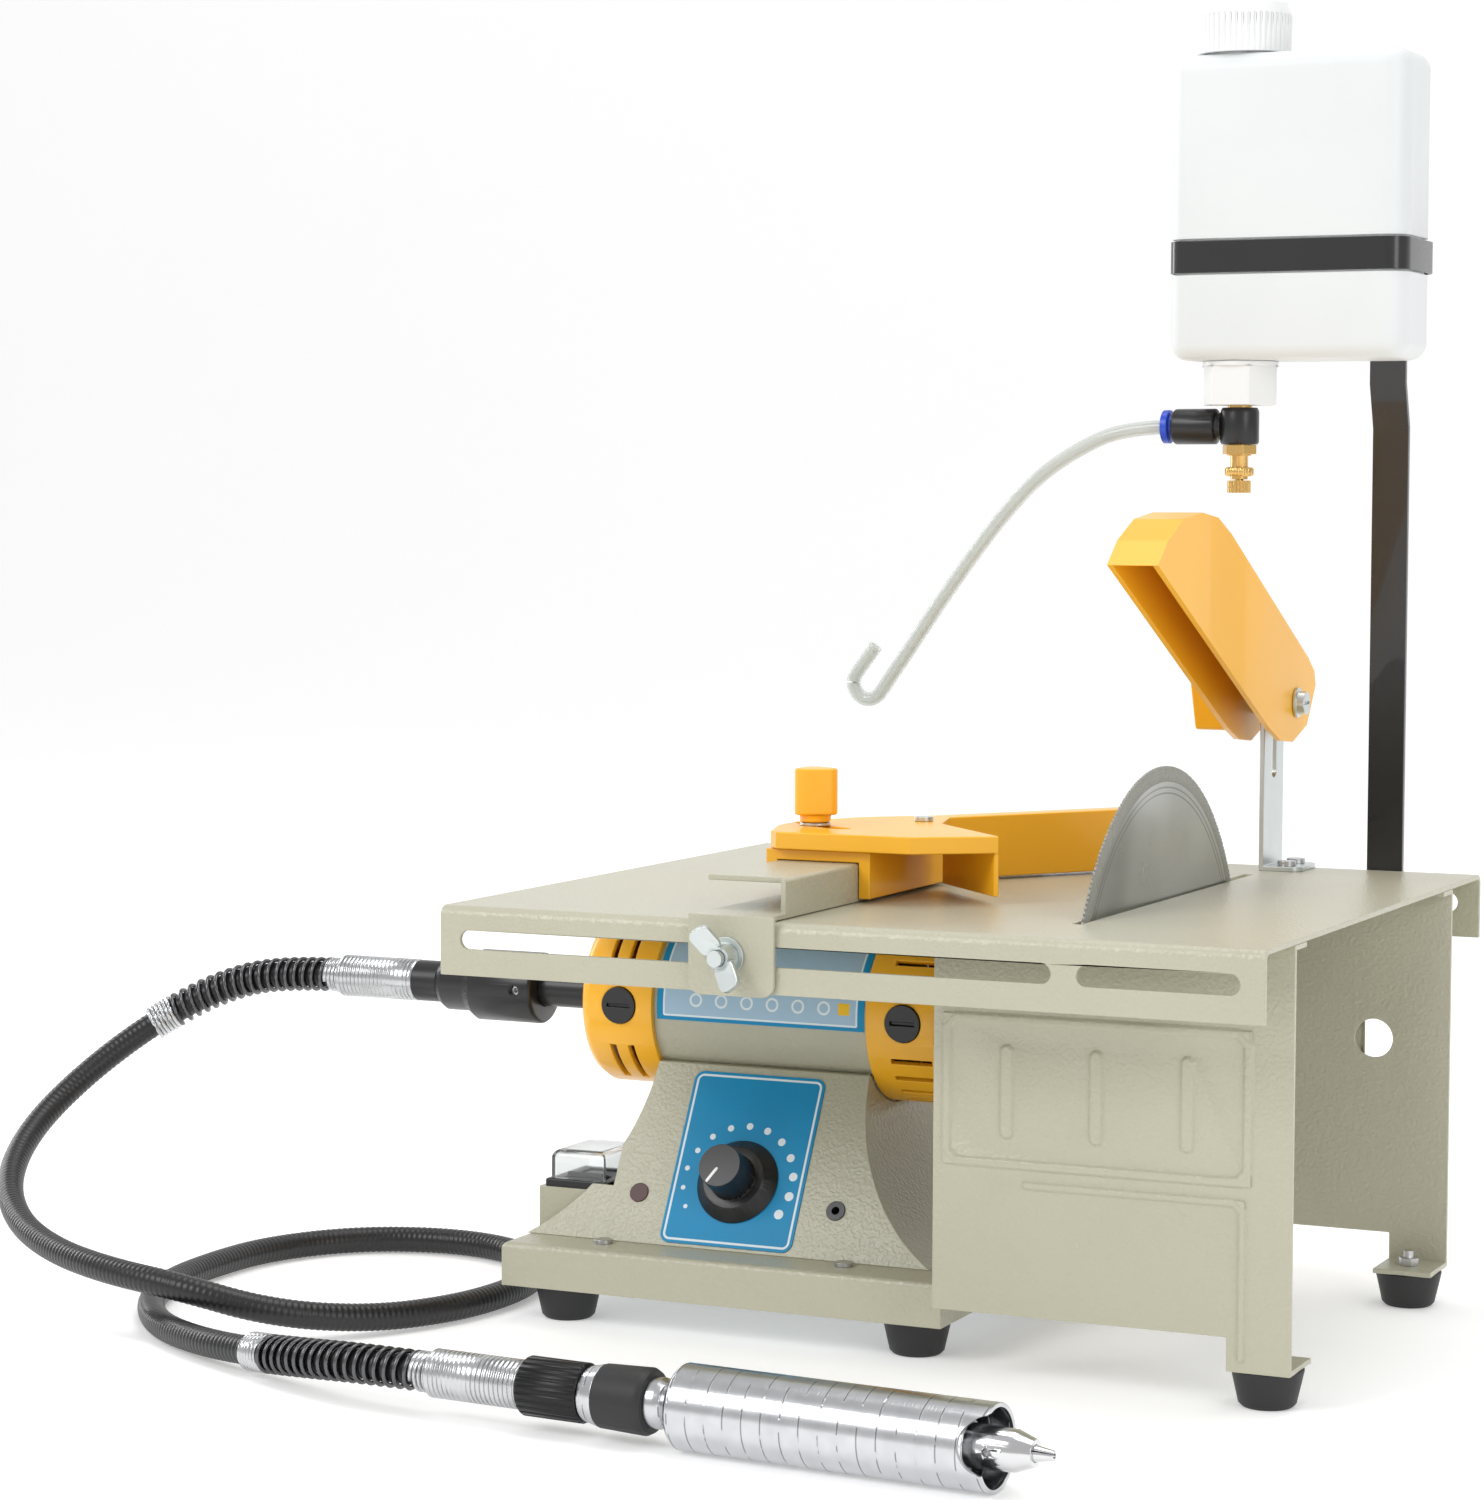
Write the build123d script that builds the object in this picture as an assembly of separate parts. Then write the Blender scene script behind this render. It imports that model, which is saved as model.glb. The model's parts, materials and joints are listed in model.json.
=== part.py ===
"""Bench cabbing machine: table saw, flexible-shaft polisher and water feed on one motor.

Millimetres. X runs along the motor's axis, Y goes to the back, Z is up.
The origin is on the bench, below the middle of the table.
"""
from build123d import *
import math
import os

# ---- driving dimensions -------------------------------------------------------------------
SHEET = 2.0                        # painted steel sheet
TABLE_X, TABLE_Y = 160.0, 148.5    # half sizes of the table
TOP_Z = 168.0
SKIRT_Z = 142.0                    # lower edge of the folded skirts
BEND = 4.0                         # outer radius of a fold

FOOT_H = 13.8
FOOT_R, FOOT_TIP_R = 13.2, 10.4
LEG_FRONT_Y, LEG_REAR_Y = -113.5, 103.5    # outer faces of the leg panels
PANEL_X0, LEG_X0 = 25.0, 136.5
PANEL_Z0 = 26.0

AXIS_Y, AXIS_Z = -8.0, 119.0       # motor axis
BLADE_X, BLADE_R, BLADE_T = 75.0, 100.0, 1.4
TUBE_R, CAP_R = 32.6, 35.0         # motor body and end caps
TUBE_X0, TUBE_X1 = -124.0, -32.0
CAP_LEN = 33.0
SHAFT_R = 5.0
SPIGOT_R = 4.0                     # the spindle's free end, beyond the nut

TRAY_X0, TRAY_X1 = -164.0, 20.5
TRAY_Y0, TRAY_Y1 = -93.5, 77.5
TRAY_Z1 = 30.8
PED_X = -78.0                      # pedestal's middle
PED_TOP_Z, PED_TOP_HALF, PED_FOOT_HALF = 97.0, 45.5, 86.0
PED_FOOT_Y, PED_TOP_Y = 65.0, 28.6         # half depths at foot and top

RAIL_X0, RAIL_X1 = -57.0, -24.0    # fence rail, open to the left
RAIL_Y0, RAIL_Y1 = -136.0, 132.0
RAIL_Z0, RAIL_TOP = 168.3, 182.8
CLAMP_X, CLAMP_Z = -40.5, 155.5
PIVOT = (-24.0, -4.0)              # mitre pivot
LOCK_R, LOCK_ANGLE = 47.5, 230.0   # lock stud's place round the pivot
ARM_ANGLE = 55.0
PLATE_Z0, PLATE_Z1 = 187.4, 194.0

GUARD_X = 75.0
GUARD_HALF = 10.0
GUARD_PIVOT = (135.0, 237.0)       # Y and Z of the hood's bolt
BRACKET_Y0, BRACKET_Y1 = 121.0, 148.0

BOTTLE_X0, BOTTLE_X1 = 39.5, 138.5
BOTTLE_Y0, BOTTLE_Y1 = 96.0, 140.0
BOTTLE_Z0, BOTTLE_Z1 = 377.0, 500.0
VALVE_X, VALVE_Y = 65.0, 117.0
ELBOW_Z = 350.5
HOSE_R = 3.05

CABLE_R = 5.4
SPRING_R = 7.3                     # outside of the kink springs on the cable
HAND = Pos(-110.5, -240.1, 14.9) * Rot(0, 0, -3.8) * Pos(111, 0, 0)    # handpiece axis: its own X
SLEEVE_R = 14.8

# Free routes, from one end to the other: straight runs that tangent arcs join.
SHAFT_ROUTE = [
    (-285, -8, 119), (-316, -8, 119), (-346, -11, 111), (-374, -23, 94), (-394, -45, 73),
    (-400, -74, 54), (-389, -105, 39), (-364, -133, 29), (-330, -157, 24.5), (-292, -175, 23),
    (-256, -182, 21.5), (-222, -170, 12), (-196, -142, 6.6), (-178, -107, 5.6), (-172.5, -67, 5.6),
    (-180, -30, 5.6), (-204, 2, 5.6), (-243, 14, 5.6), (-283, 0, 5.6), (-306, -36, 5.6),
    (-309, -77, 5.6), (-305, -115, 5.6), (-290, -150, 5.6), (-265, -181, 5.6), (-232, -203, 6.8),
    (-199, -217, 8.8), (-168, -229.5, 12.2), (-138, -238.3, 14.9), (-110.5, -240.1, 14.9),
]
HOSE_ROUTE = [
    (36, 117, 350.5), (16, 117, 350), (-3, 117, 342.5), (-22, 117, 330.5), (-38, 117, 314),
    (-53, 117, 295), (-69, 117, 273), (-82, 117, 254), (-89.5, 117, 243.7), (-95.5, 117, 234.5),
    (-103.2, 117, 234.8), (-107.4, 117, 242.2), (-101.5, 117, 250), (-96, 117, 257.5),
]
SPRING_RUNS = 4                    # runs of the cable that a spring covers, at each end


# ---- plain shapes -------------------------------------------------------------------------
def block(x0, x1, y0, y1, z0, z1):
    """A box between its low and high corners."""
    return Pos((x0 + x1) / 2, (y0 + y1) / 2, (z0 + z1) / 2) * Box(x1 - x0, y1 - y0, z1 - z0)


def rod_x(x0, x1, r, y=AXIS_Y, z=AXIS_Z):
    """A rod along X."""
    return Pos((x0 + x1) / 2, y, z) * Rot(0, 90, 0) * Cylinder(r, x1 - x0)


def rod_y(y0, y1, r, x, z):
    """A rod along Y."""
    return Pos(x, (y0 + y1) / 2, z) * Rot(90, 0, 0) * Cylinder(r, y1 - y0)


def rod_z(z0, z1, r, x, y):
    """A rod along Z."""
    return Pos(x, y, (z0 + z1) / 2) * Cylinder(r, z1 - z0)


def turned_x(profile, y=AXIS_Y, z=AXIS_Z):
    """A solid of revolution about an X axis, from (x, radius) corners."""
    face = make_face(Polyline(*[(x, r, 0) for x, r in profile], close=True))
    return Pos(0, y, z) * revolve(face, Axis.X, 360)


def turned_z(profile, x, y):
    """A solid of revolution about a Z axis, from (radius, z) corners."""
    face = make_face(Polyline(*[(r, 0, z) for r, z in profile], close=True))
    return Pos(x, y, 0) * revolve(face, Axis.Z, 360)


def prism_x(points, x0, x1):
    """A (y, z) outline drawn along X."""
    face = make_face(Polyline(*[(x0, y, z) for y, z in points], close=True))
    return extrude(face, amount=x1 - x0, dir=(1, 0, 0))


def prism_z(points, z0, z1):
    """An (x, y) outline drawn along Z."""
    face = make_face(Polyline(*[(x, y, z0) for x, y in points], close=True))
    return extrude(face, amount=z1 - z0, dir=(0, 0, 1))


def slot_y(x0, x1, z0, z1, y0, y1):
    """A round-ended slot along X, cut along Y."""
    r = (z1 - z0) / 2
    zc = (z0 + z1) / 2
    return (block(x0 + r, x1 - r, y0, y1, z0, z1) + rod_y(y0, y1, r, x0 + r, zc)
            + rod_y(y0, y1, r, x1 - r, zc))


def hexagon_z(z0, z1, across, x, y, bore=0.0):
    """A hexagonal nut or stub along Z."""
    body = Pos(x, y, z0) * extrude(RegularPolygon(across / math.sqrt(3), 6), z1 - z0)
    return body - rod_z(z0 - 1, z1 + 1, bore, x, y) if bore else body


def hexagon_x(x0, x1, across, y=AXIS_Y, z=AXIS_Z, bore=0.0):
    """A hexagonal prism along X."""
    body = Pos(x0, y, z) * Rot(0, 90, 0) * extrude(RegularPolygon(across / math.sqrt(3), 6), x1 - x0)
    return body - rod_x(x0 - 1, x1 + 1, bore, y, z) if bore else body


def group(shapes):
    """Separate solids in one node."""
    return Compound(children=[s for shape in shapes for s in shape.solids()])


# ---- table and legs -----------------------------------------------------------------------
def table_top():
    """Sheet with its front and rear edges folded down, two slots in front, one for the blade."""
    outer = fillet(
        block(-TABLE_X, TABLE_X, -TABLE_Y, TABLE_Y, SKIRT_Z, TOP_Z).edges()
        .filter_by(Axis.X).group_by(Axis.Z)[-1], BEND)
    inner = fillet(
        block(-TABLE_X - 1, TABLE_X + 1, -TABLE_Y + SHEET, TABLE_Y - SHEET, SKIRT_Z - 9, TOP_Z - SHEET)
        .edges().filter_by(Axis.X).group_by(Axis.Z)[-1], BEND - SHEET)
    body = outer - inner
    body -= slot_y(-151.5, 82.5, 152.0, 159.0, -TABLE_Y - 1, -TABLE_Y + 5)
    body -= slot_y(92.0, 151.0, 151.8, 159.2, -TABLE_Y - 1, -TABLE_Y + 5)
    body -= block(BLADE_X - 1.9, BLADE_X + 1.9, -102.0, 105.0, TOP_Z - 5, TOP_Z + 5)
    for y in GUARD_SCREWS_Y:
        body -= rod_z(TOP_Z - 5, TOP_Z + 5, 2.1, GUARD_SCREW_X, y)
    for x in BAR_SCREWS_X:
        body -= rod_y(TABLE_Y - 5, TABLE_Y + 5, 2.1, x, BAR_SCREW_Z)
    body -= rod_y(TABLE_Y - 5, TABLE_Y + 5, 4.0, 147.0, 156.0)
    return body


GUARD_SCREW_X = 84.0
GUARD_SCREWS_Y = (128.0, 141.0)
BAR_SCREWS_X = (119.5,)
BAR_SCREW_Z = 153.0


def leg_panel(face_y, inward):
    """A stamped end panel: a wide web, one leg with a foot flange, a top flange to the table."""
    y0, y1 = sorted((face_y, face_y + inward * SHEET))
    web = block(PANEL_X0, TABLE_X, y0, y1, PANEL_Z0, TOP_Z - SHEET)
    leg = block(LEG_X0, TABLE_X, y0, y1, FOOT_H, PANEL_Z0)
    f0, f1 = sorted((face_y, face_y + inward * 26.0))
    foot = block(LEG_X0, TABLE_X, f0, f1, FOOT_H, FOOT_H + SHEET)
    t0, t1 = sorted((face_y, face_y + inward * 14.0))
    top = block(PANEL_X0, TABLE_X, t0, t1, TOP_Z - 2 * SHEET, TOP_Z - SHEET)
    top -= block(BLADE_X - 6, BLADE_X + 6, t0 - 1, t1 + 1, TOP_Z - 3 * SHEET, TOP_Z)
    body = web + leg + foot + top
    body -= rod_z(FOOT_H - 1, FOOT_H + 5, 2.1, LEG_FOOT_X, face_y + inward * 13.5)
    return body + panel_emboss(face_y, inward)


def panel_emboss(face_y, inward):
    """Raised ribs on the outer face: a frame, three bars in it, and a rib down the leg."""
    out = face_y - inward * 1.0
    y0, y1 = sorted((face_y, out))
    ribs = []
    for x0, x1, z0, z1 in EMBOSS_RIBS:
        ribs.append(block(x0, x1, y0, y1, z0, z1))
    return ribs[0].fuse(*ribs[1:])


EMBOSS_RIBS = [
    (29.0, 145.0, 132.5, 135.0), (29.0, 145.0, 80.0, 82.5), (29.0, 31.5, 80.0, 135.0),
    (142.5, 145.0, 80.0, 135.0), (52.0, 55.0, 92.0, 123.0), (86.0, 89.0, 92.0, 123.0),
    (120.0, 123.0, 92.0, 123.0), (60.0, 143.0, 73.0, 75.0), (141.0, 143.0, 18.0, 75.0),
]
LEG_FOOT_X = 147.8
LEG_FEET_Y = (LEG_FRONT_Y + 13.5, LEG_REAR_Y - 13.5)
TRAY_FEET = [(x, y) for x in (-143.5, 4.0) for y in (-76.0, 60.0)]
FEET = [(LEG_FOOT_X, y) for y in LEG_FEET_Y] + TRAY_FEET


def rubber_foot(x, y):
    """A tapered rubber foot with a counterbored screw hole."""
    return turned_z([(2.1, 5.0), (5.0, 5.0), (5.0, 0.0), (FOOT_TIP_R - 1.5, 0.0), (FOOT_TIP_R, 1.5),
                     (FOOT_R, FOOT_H), (2.1, FOOT_H)], x, y)


def foot_screw(x, y):
    """A pan-head screw up through the foot, with its nut on the sheet."""
    top = FOOT_H + SHEET
    return (rod_z(3.0, 5.0, 4.2, x, y) + rod_z(4.0, top + 6.0, 2.0, x, y)
            + hexagon_z(top, top + 3.2, 7.0, x, y))


# ---- base tray and pedestal ---------------------------------------------------------------
def base_tray():
    """The folded tray under the pedestal."""
    outer = block(TRAY_X0, TRAY_X1, TRAY_Y0, TRAY_Y1, FOOT_H, TRAY_Z1)
    outer = fillet(outer.edges().group_by(Axis.Z)[-1], 2.5)
    body = outer - block(TRAY_X0 + 1.5, TRAY_X1 - 1.5, TRAY_Y0 + 1.5, TRAY_Y1 - 1.5, FOOT_H - 1,
                         TRAY_Z1 - 1.5)
    body -= block(PED_X - 30, PED_X + 30, AXIS_Y - 25, AXIS_Y + 25, TRAY_Z1 - 5, TRAY_Z1 + 5)
    for x, y in TRAY_SCREWS:
        body -= rod_z(TRAY_Z1 - 5, TRAY_Z1 + 5, 2.1, x, y)
    return body


TRAY_SCREWS = [(x, y) for x in (-127.0, -25.0) for y in (-78.5, 62.5)]


def base_plate():
    """The plate that closes the tray from below."""
    body = block(TRAY_X0 + 1.6, TRAY_X1 - 1.6, TRAY_Y0 + 1.6, TRAY_Y1 - 1.6, FOOT_H, FOOT_H + SHEET)
    for x, y in TRAY_FEET:
        body -= rod_z(FOOT_H - 1, FOOT_H + 5, 2.1, x, y)
    return body


def tray_screw(x, y):
    """A pan screw that holds the tray."""
    return rod_z(TRAY_Z1 - 6.0, TRAY_Z1, 2.0, x, y) + rod_z(TRAY_Z1, TRAY_Z1 + 1.6, 3.6, x, y)


def pedestal_outline(inset):
    """The front view: straight top and foot, concave sides that flare to the foot."""
    top = PED_TOP_Z - inset
    half_top = PED_TOP_HALF - inset
    half_foot = PED_FOOT_HALF - inset * 1.6
    foot = TRAY_Z1 - (0 if inset == 0 else 1)
    mid = (half_top + 11.0, 59.0)
    edge = [
        Line((PED_X - half_top, 0, top), (PED_X + half_top, 0, top)),
        ThreePointArc((PED_X + half_top, 0, top), (PED_X + mid[0], 0, mid[1]),
                      (PED_X + half_foot, 0, foot)),
        Line((PED_X + half_foot, 0, foot), (PED_X - half_foot, 0, foot)),
        ThreePointArc((PED_X - half_foot, 0, foot), (PED_X - mid[0], 0, mid[1]),
                      (PED_X - half_top, 0, top)),
    ]
    return Pos(0, -120, 0) * extrude(make_face(edge), amount=240, dir=(0, 1, 0))


def pedestal_depth(inset):
    """The side view: front and back lean in to the top."""
    foot = TRAY_Z1 - (0 if inset == 0 else 1)
    top = PED_TOP_Z - inset
    yf, yt = PED_FOOT_Y - 1.15 * inset, PED_TOP_Y - 1.15 * inset
    return prism_x([(AXIS_Y - yf, foot), (AXIS_Y + yf, foot), (AXIS_Y + yt, top), (AXIS_Y - yt, top)],
                   PED_X - 120, PED_X + 120)


def pedestal_shell():
    """A sheet shell whose top cradles the motor."""
    outer = pedestal_outline(0) & pedestal_depth(0)
    void = (pedestal_outline(1.6) & pedestal_depth(1.6)) - rod_x(-200, 100, TUBE_R + 1.8)
    body = outer - void - rod_x(-200, 100, TUBE_R + 0.02) - switch_box_space()
    for x0, x1 in ((TUBE_X0 - 50, TUBE_X0 + 0.4), (TUBE_X1 - 0.4, TUBE_X1 + 50)):
        body -= rod_x(x0, x1, CAP_R + 0.6)
    body = max(body.solids(), key=lambda s: s.volume)
    for place, r in ((KNOB_AT, 3.4), (LED_AT, 3.0), (JACK_AT, 3.0)):
        body -= front_rod(place, -12, 12, r)
    return body


# The front face: a plane that leans back, with its own in-plane axes.
LEAN = math.degrees(math.atan2(PED_FOOT_Y - PED_TOP_Y, PED_TOP_Z - TRAY_Z1))
FRONT = Plane(origin=(PED_X, AXIS_Y - PED_FOOT_Y, TRAY_Z1), x_dir=(1, 0, 0),
              z_dir=(0, -math.cos(math.radians(LEAN)), math.sin(math.radians(LEAN))))
KNOB_AT, LED_AT, JACK_AT = (0.0, 28.0), (-41.0, 20.5), (43.0, 20.0)   # along X, up the face


def front_rod(place, out0, out1, r):
    """A rod square to the front face, from out0 to out1 in front of it."""
    return FRONT * Pos(place[0], place[1], (out0 + out1) / 2) * Cylinder(r, out1 - out0)


def front_plate(w, h, up, out0, out1, radius):
    """A rounded plate on the front face."""
    plate = Pos(0, up, out0) * extrude(RectangleRounded(w, h, radius), out1 - out0)
    return FRONT * plate


def control_label():
    """The printed film on the front face."""
    return front_plate(56.0, 71.0, 37.0, 0.0, 0.5, 4.0) - front_rod(KNOB_AT, -1, 3, 3.4)


def speed_knob():
    """A ribbed cap on a skirt, with a pointer line."""
    skirt = FRONT * Pos(*KNOB_AT, 0.9) * Cone(17.0, 12.5, 5.0, align=(Align.CENTER, Align.CENTER, Align.MIN))
    cap = FRONT * Pos(*KNOB_AT, 5.9) * Cone(9.3, 8.6, 14.0, align=(Align.CENTER, Align.CENTER, Align.MIN))
    body = skirt + cap
    for k in range(24):
        a = math.radians(15 * k)
        body -= front_rod((KNOB_AT[0] + 9.6 * math.cos(a), KNOB_AT[1] + 9.6 * math.sin(a)), 6.4, 20.5, 0.65)
    return body - front_rod(KNOB_AT, 0, 13.0, 3.05)


def potentiometer():
    """The speed control behind the knob."""
    return (front_rod(KNOB_AT, -13.0, -3.0, 8.0) + front_rod(KNOB_AT, -4.0, 0.4, 3.35)
            + front_rod(KNOB_AT, 0.3, 12.8, 3.0))


def power_led():
    """The power light and its bezel."""
    return front_rod(LED_AT, -7.0, 0.6, 2.9) + front_rod(LED_AT, 0.0, 0.6, 3.9)


def light_jack():
    """The socket for a lamp."""
    body = front_rod(JACK_AT, -9.0, 0.6, 2.9) + front_rod(JACK_AT, 0.0, 0.6, 3.9)
    return body - front_rod(JACK_AT, -5.0, 2.0, 1.5)


def circuit_board():
    """The speed control board on the base plate, with its heat sink and coils."""
    z = FOOT_H + SHEET + 4.0
    board = block(PED_X - 27, PED_X + 27, AXIS_Y - 22, AXIS_Y + 22, z, z + 1.6)
    sink = block(PED_X - 20, PED_X - 8, AXIS_Y - 12, AXIS_Y + 12, z + 1.6, z + 22)
    coil = rod_z(z + 1.6, z + 15, 8.0, PED_X + 10, AXIS_Y)
    posts = [rod_z(FOOT_H + SHEET, z, 2.5, PED_X + dx, AXIS_Y + dy) for dx in (-22, 22) for dy in (-18, 18)]
    return board.fuse(sink, coil, *posts)


# ---- power switch -------------------------------------------------------------------------
BOX = (-164.0, -131.0, -62.0, -27.0)       # x0, x1, y0, y1
BOX_TOP = 47.8
ROCKER_AT = (-147.5, -44.5)


def switch_box_space():
    """The room that the switch box takes."""
    return block(BOX[0] - 5, BOX[1], BOX[2], BOX[3], TRAY_Z1 - 2, BOX_TOP + 30)


def switch_box():
    """The sheet box round the power switch."""
    body = block(*BOX, TRAY_Z1, BOX_TOP)
    body -= block(BOX[0] + 1.5, BOX[1] - 1.5, BOX[2] + 1.5, BOX[3] - 1.5, TRAY_Z1 - 1, BOX_TOP - 1.5)
    return body - block(*switch_hole(), TRAY_Z1, BOX_TOP + 1)


def switch_hole():
    """The hole that the switch drops into."""
    return (ROCKER_AT[0] - 10.5, ROCKER_AT[0] + 10.5, ROCKER_AT[1] - 14.0, ROCKER_AT[1] + 14.0)


def switch_frame():
    """The switch body, flanged on top, hollow for its rocker."""
    x, y = ROCKER_AT
    plate = block(x - 14.0, x + 14.0, y - 16.8, y + 16.8, BOX_TOP, BOX_TOP + 3.2)
    plate = fillet(plate.edges().group_by(Axis.Z)[-1], 0.8)
    body = plate + block(x - 10.4, x + 10.4, y - 13.9, y + 13.9, TRAY_Z1 + 2.0, BOX_TOP)
    return body - block(x - 8.2, x + 8.2, y - 11.8, y + 11.8, BOX_TOP - 9.0, BOX_TOP + 5)


def switch_rocker():
    """A shallow rocker, tilted to its off side, on a pin along X."""
    x, y = ROCKER_AT
    paddle = prism_x([(-10.2, 2.0), (-10.2, 4.2), (0, 2.4), (10.2, 4.2), (10.2, 2.0), (3.0, -2.0),
                      (-3.0, -2.0)], -7.7, 7.7)
    body = paddle + rod_x(-7.7, 7.7, 2.0, 0, 0)
    return Pos(x, y, ROCKER_Z) * Rot(-8, 0, 0) * body


ROCKER_Z = BOX_TOP - 0.2


def switch_cover():
    """A clear splash cover over the rocker: a lid of thin walls."""
    x, y = ROCKER_AT
    z = BOX_TOP + 3.2
    outer = fillet(block(x - 12.0, x + 12.0, y - 15.5, y + 15.5, z, z + 11.5).edges().group_by(Axis.Z)[-1], 3.5)
    inner = block(x - 10.9, x + 10.9, y - 14.4, y + 14.4, z - 1, z + 10.2)
    return outer - fillet(inner.edges().group_by(Axis.Z)[-1], 2.4)


# ---- motor --------------------------------------------------------------------------------
def motor_tube():
    """The steel tube of the motor."""
    return rod_x(TUBE_X0, TUBE_X1, TUBE_R) - rod_x(TUBE_X0 - 1, TUBE_X1 + 1, TUBE_R - 1.8)


def motor_label():
    """A thin plate wrapped on the tube's front, from below the axis to near the top."""
    ring = rod_x(TUBE_X0 + 1.5, TUBE_X1 - 1.5, TUBE_R + 0.35) - rod_x(TUBE_X0, TUBE_X1, TUBE_R)
    low, high = math.radians(-8), math.radians(62)
    far = 80.0
    wedge = prism_x([(AXIS_Y, AXIS_Z), (AXIS_Y - far * math.cos(low), AXIS_Z + far * math.sin(low)),
                     (AXIS_Y - far, AXIS_Z + far * 0.5),
                     (AXIS_Y - far * math.cos(high), AXIS_Z + far * math.sin(high))], TUBE_X0, TUBE_X1)
    return ring & wedge


BRUSH_X = (-138.5, -16.5)


def end_cap(sign, x_face):
    """A moulded cap: a shell that steps over the tube, a bearing seat, vents, brush bosses."""
    end = x_face + sign * CAP_LEN
    profile = [(x_face, CAP_R), (end - sign * 5, CAP_R), (end - sign * 1.5, CAP_R - 2),
               (end, CAP_R - 5), (end, 11.0), (end - sign * 11, 11.0), (end - sign * 11, 13.5),
               (end - sign * 3, 13.5), (end - sign * 3, CAP_R - 6.5), (end - sign * 6, CAP_R - 2.6),
               (x_face, CAP_R - 2.6)]
    body = turned_x(profile)
    brush_x = BRUSH_X[0] if sign < 0 else BRUSH_X[1]
    body -= rod_y(AXIS_Y - 60, AXIS_Y + 60, 7.4, brush_x, AXIS_Z)
    return body


def vent_arcs(x, width, start, stop):
    """A cutter for a slot that runs part of the way round a cap."""
    ring = rod_x(x - width / 2, x + width / 2, CAP_R + 3) - rod_x(x - width, x + width, CAP_R - 6)
    far = 90.0
    steps = [start + (stop - start) * k / 4 for k in range(5)]
    outline = [(AXIS_Y, AXIS_Z)] + [(AXIS_Y - far * math.cos(math.radians(a)),
                                     AXIS_Z + far * math.sin(math.radians(a))) for a in steps]
    return ring & prism_x(outline, x - width, x + width)


def left_end_cap():
    """The cap on the flexible-shaft end."""
    body = end_cap(-1, TUBE_X0)
    for x in (-143.0, -135.0):
        for start in (-62, 28, 118, 208):
            body -= vent_arcs(x, 2.6, start, start + 34)
    return body


def right_end_cap():
    """The cap on the blade end."""
    body = end_cap(1, TUBE_X1)
    for side in (0, 180):
        for a in (-68, -54, -40, -26, 26, 40, 54, 68):
            t = math.radians(a + side)
            y, z = AXIS_Y - CAP_R * math.cos(t), AXIS_Z + CAP_R * math.sin(t)
            body -= Pos(-14.0, y, z) * Rot(-(a + side), 0, 0) * Box(17.0, 14.0, 2.4)
    return body


def brush_cap(x, side):
    """A threaded plug that closes a brush tunnel, with a screwdriver slot."""
    y_in, y_out = AXIS_Y + side * 24.0, AXIS_Y + side * (CAP_R + 0.6)
    y0, y1 = sorted((y_in, y_out))
    body = rod_y(y0, y1, 7.3, x, AXIS_Z)
    s0, s1 = sorted((y_out, y_out - side * 1.4))
    return body - block(x - 5.0, x + 5.0, s0, s1, AXIS_Z - 0.7, AXIS_Z + 0.7)


def carbon_brush(side):
    """A carbon brush on the commutator."""
    y0, y1 = sorted((AXIS_Y + side * 13.2, AXIS_Y + side * 23.8))
    return block(BRUSH_X[1] - 3, BRUSH_X[1] + 3, y0, y1, AXIS_Z - 2.5, AXIS_Z + 2.5)


def stator():
    """The laminated ring round the armature."""
    ring = rod_x(-112, -44, TUBE_R - 1.85) - rod_x(-120, -40, 20.5)
    for side in (-1, 1):
        ring -= block(-120, -40, AXIS_Y - 8, AXIS_Y + 8, AXIS_Z + side * 22 - 5, AXIS_Z + side * 22 + 5)
    return ring


def bearing(x0, x1):
    """A ball bearing, as two rings."""
    return rod_x(x0, x1, 10.95) - rod_x(x0 - 1, x1 + 1, SHAFT_R + 0.02)


def ball_bearings():
    """Two bearings in the motor and two in the handpiece."""
    return group([bearing(LEFT_END + 0.2, LEFT_END + 10.8), bearing(RIGHT_END - 10.8, RIGHT_END - 0.2),
                  hand_bearing(8.0, 15.0), hand_bearing(56.0, 63.0)])


LEFT_END, RIGHT_END = TUBE_X0 - CAP_LEN, TUBE_X1 + CAP_LEN


# ---- spindle: armature, fan, flexible shaft's driver and the blade -------------------------
def spindle():
    """The motor spindle, which carries the blade."""
    return turned_x([(-205, 0), (-205, 3.0), (LEFT_END - 6, 3.0), (LEFT_END - 6, SHAFT_R),
                     (BLADE_X + 17, SHAFT_R), (BLADE_X + 17, SPIGOT_R), (BLADE_X + 29, SPIGOT_R),
                     (BLADE_X + 30, SPIGOT_R - 1), (BLADE_X + 30, 0)])


def armature():
    """The winding, the commutator and the fan."""
    body = rod_x(-108, -48, 19.6) - rod_x(-120, -40, SHAFT_R)
    for k in range(12):
        a = math.radians(30 * k)
        body -= rod_x(-109, -47, 2.0, AXIS_Y + 18.6 * math.cos(a), AXIS_Z + 18.6 * math.sin(a))
    commutator = rod_x(-26, -12, 12.6) + rod_x(-48, -26, 9.0)
    return group([body + (commutator - rod_x(-50, 0, SHAFT_R)), cooling_fan()])


def cooling_fan():
    """Nine skewed vanes on a hub."""
    hub = rod_x(-119.5, -114.0, 9.0) - rod_x(-125, -105, SHAFT_R)
    for k in range(9):
        vane = Pos(0, 0, 17.5) * Rot(0, 0, 32) * Box(1.4, 6.5, 18.0)
        hub += Pos(-116.75, AXIS_Y, AXIS_Z) * Rot(40 * k, 0, 0) * vane
    return hub - rod_x(-125, -105, SHAFT_R)


def saw_blade():
    """The plain disc of the blade."""
    body = rod_x(BLADE_X - BLADE_T / 2, BLADE_X + BLADE_T / 2, BLADE_R)
    return body - rod_x(BLADE_X - 2, BLADE_X + 2, SHAFT_R + 0.02)


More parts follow.
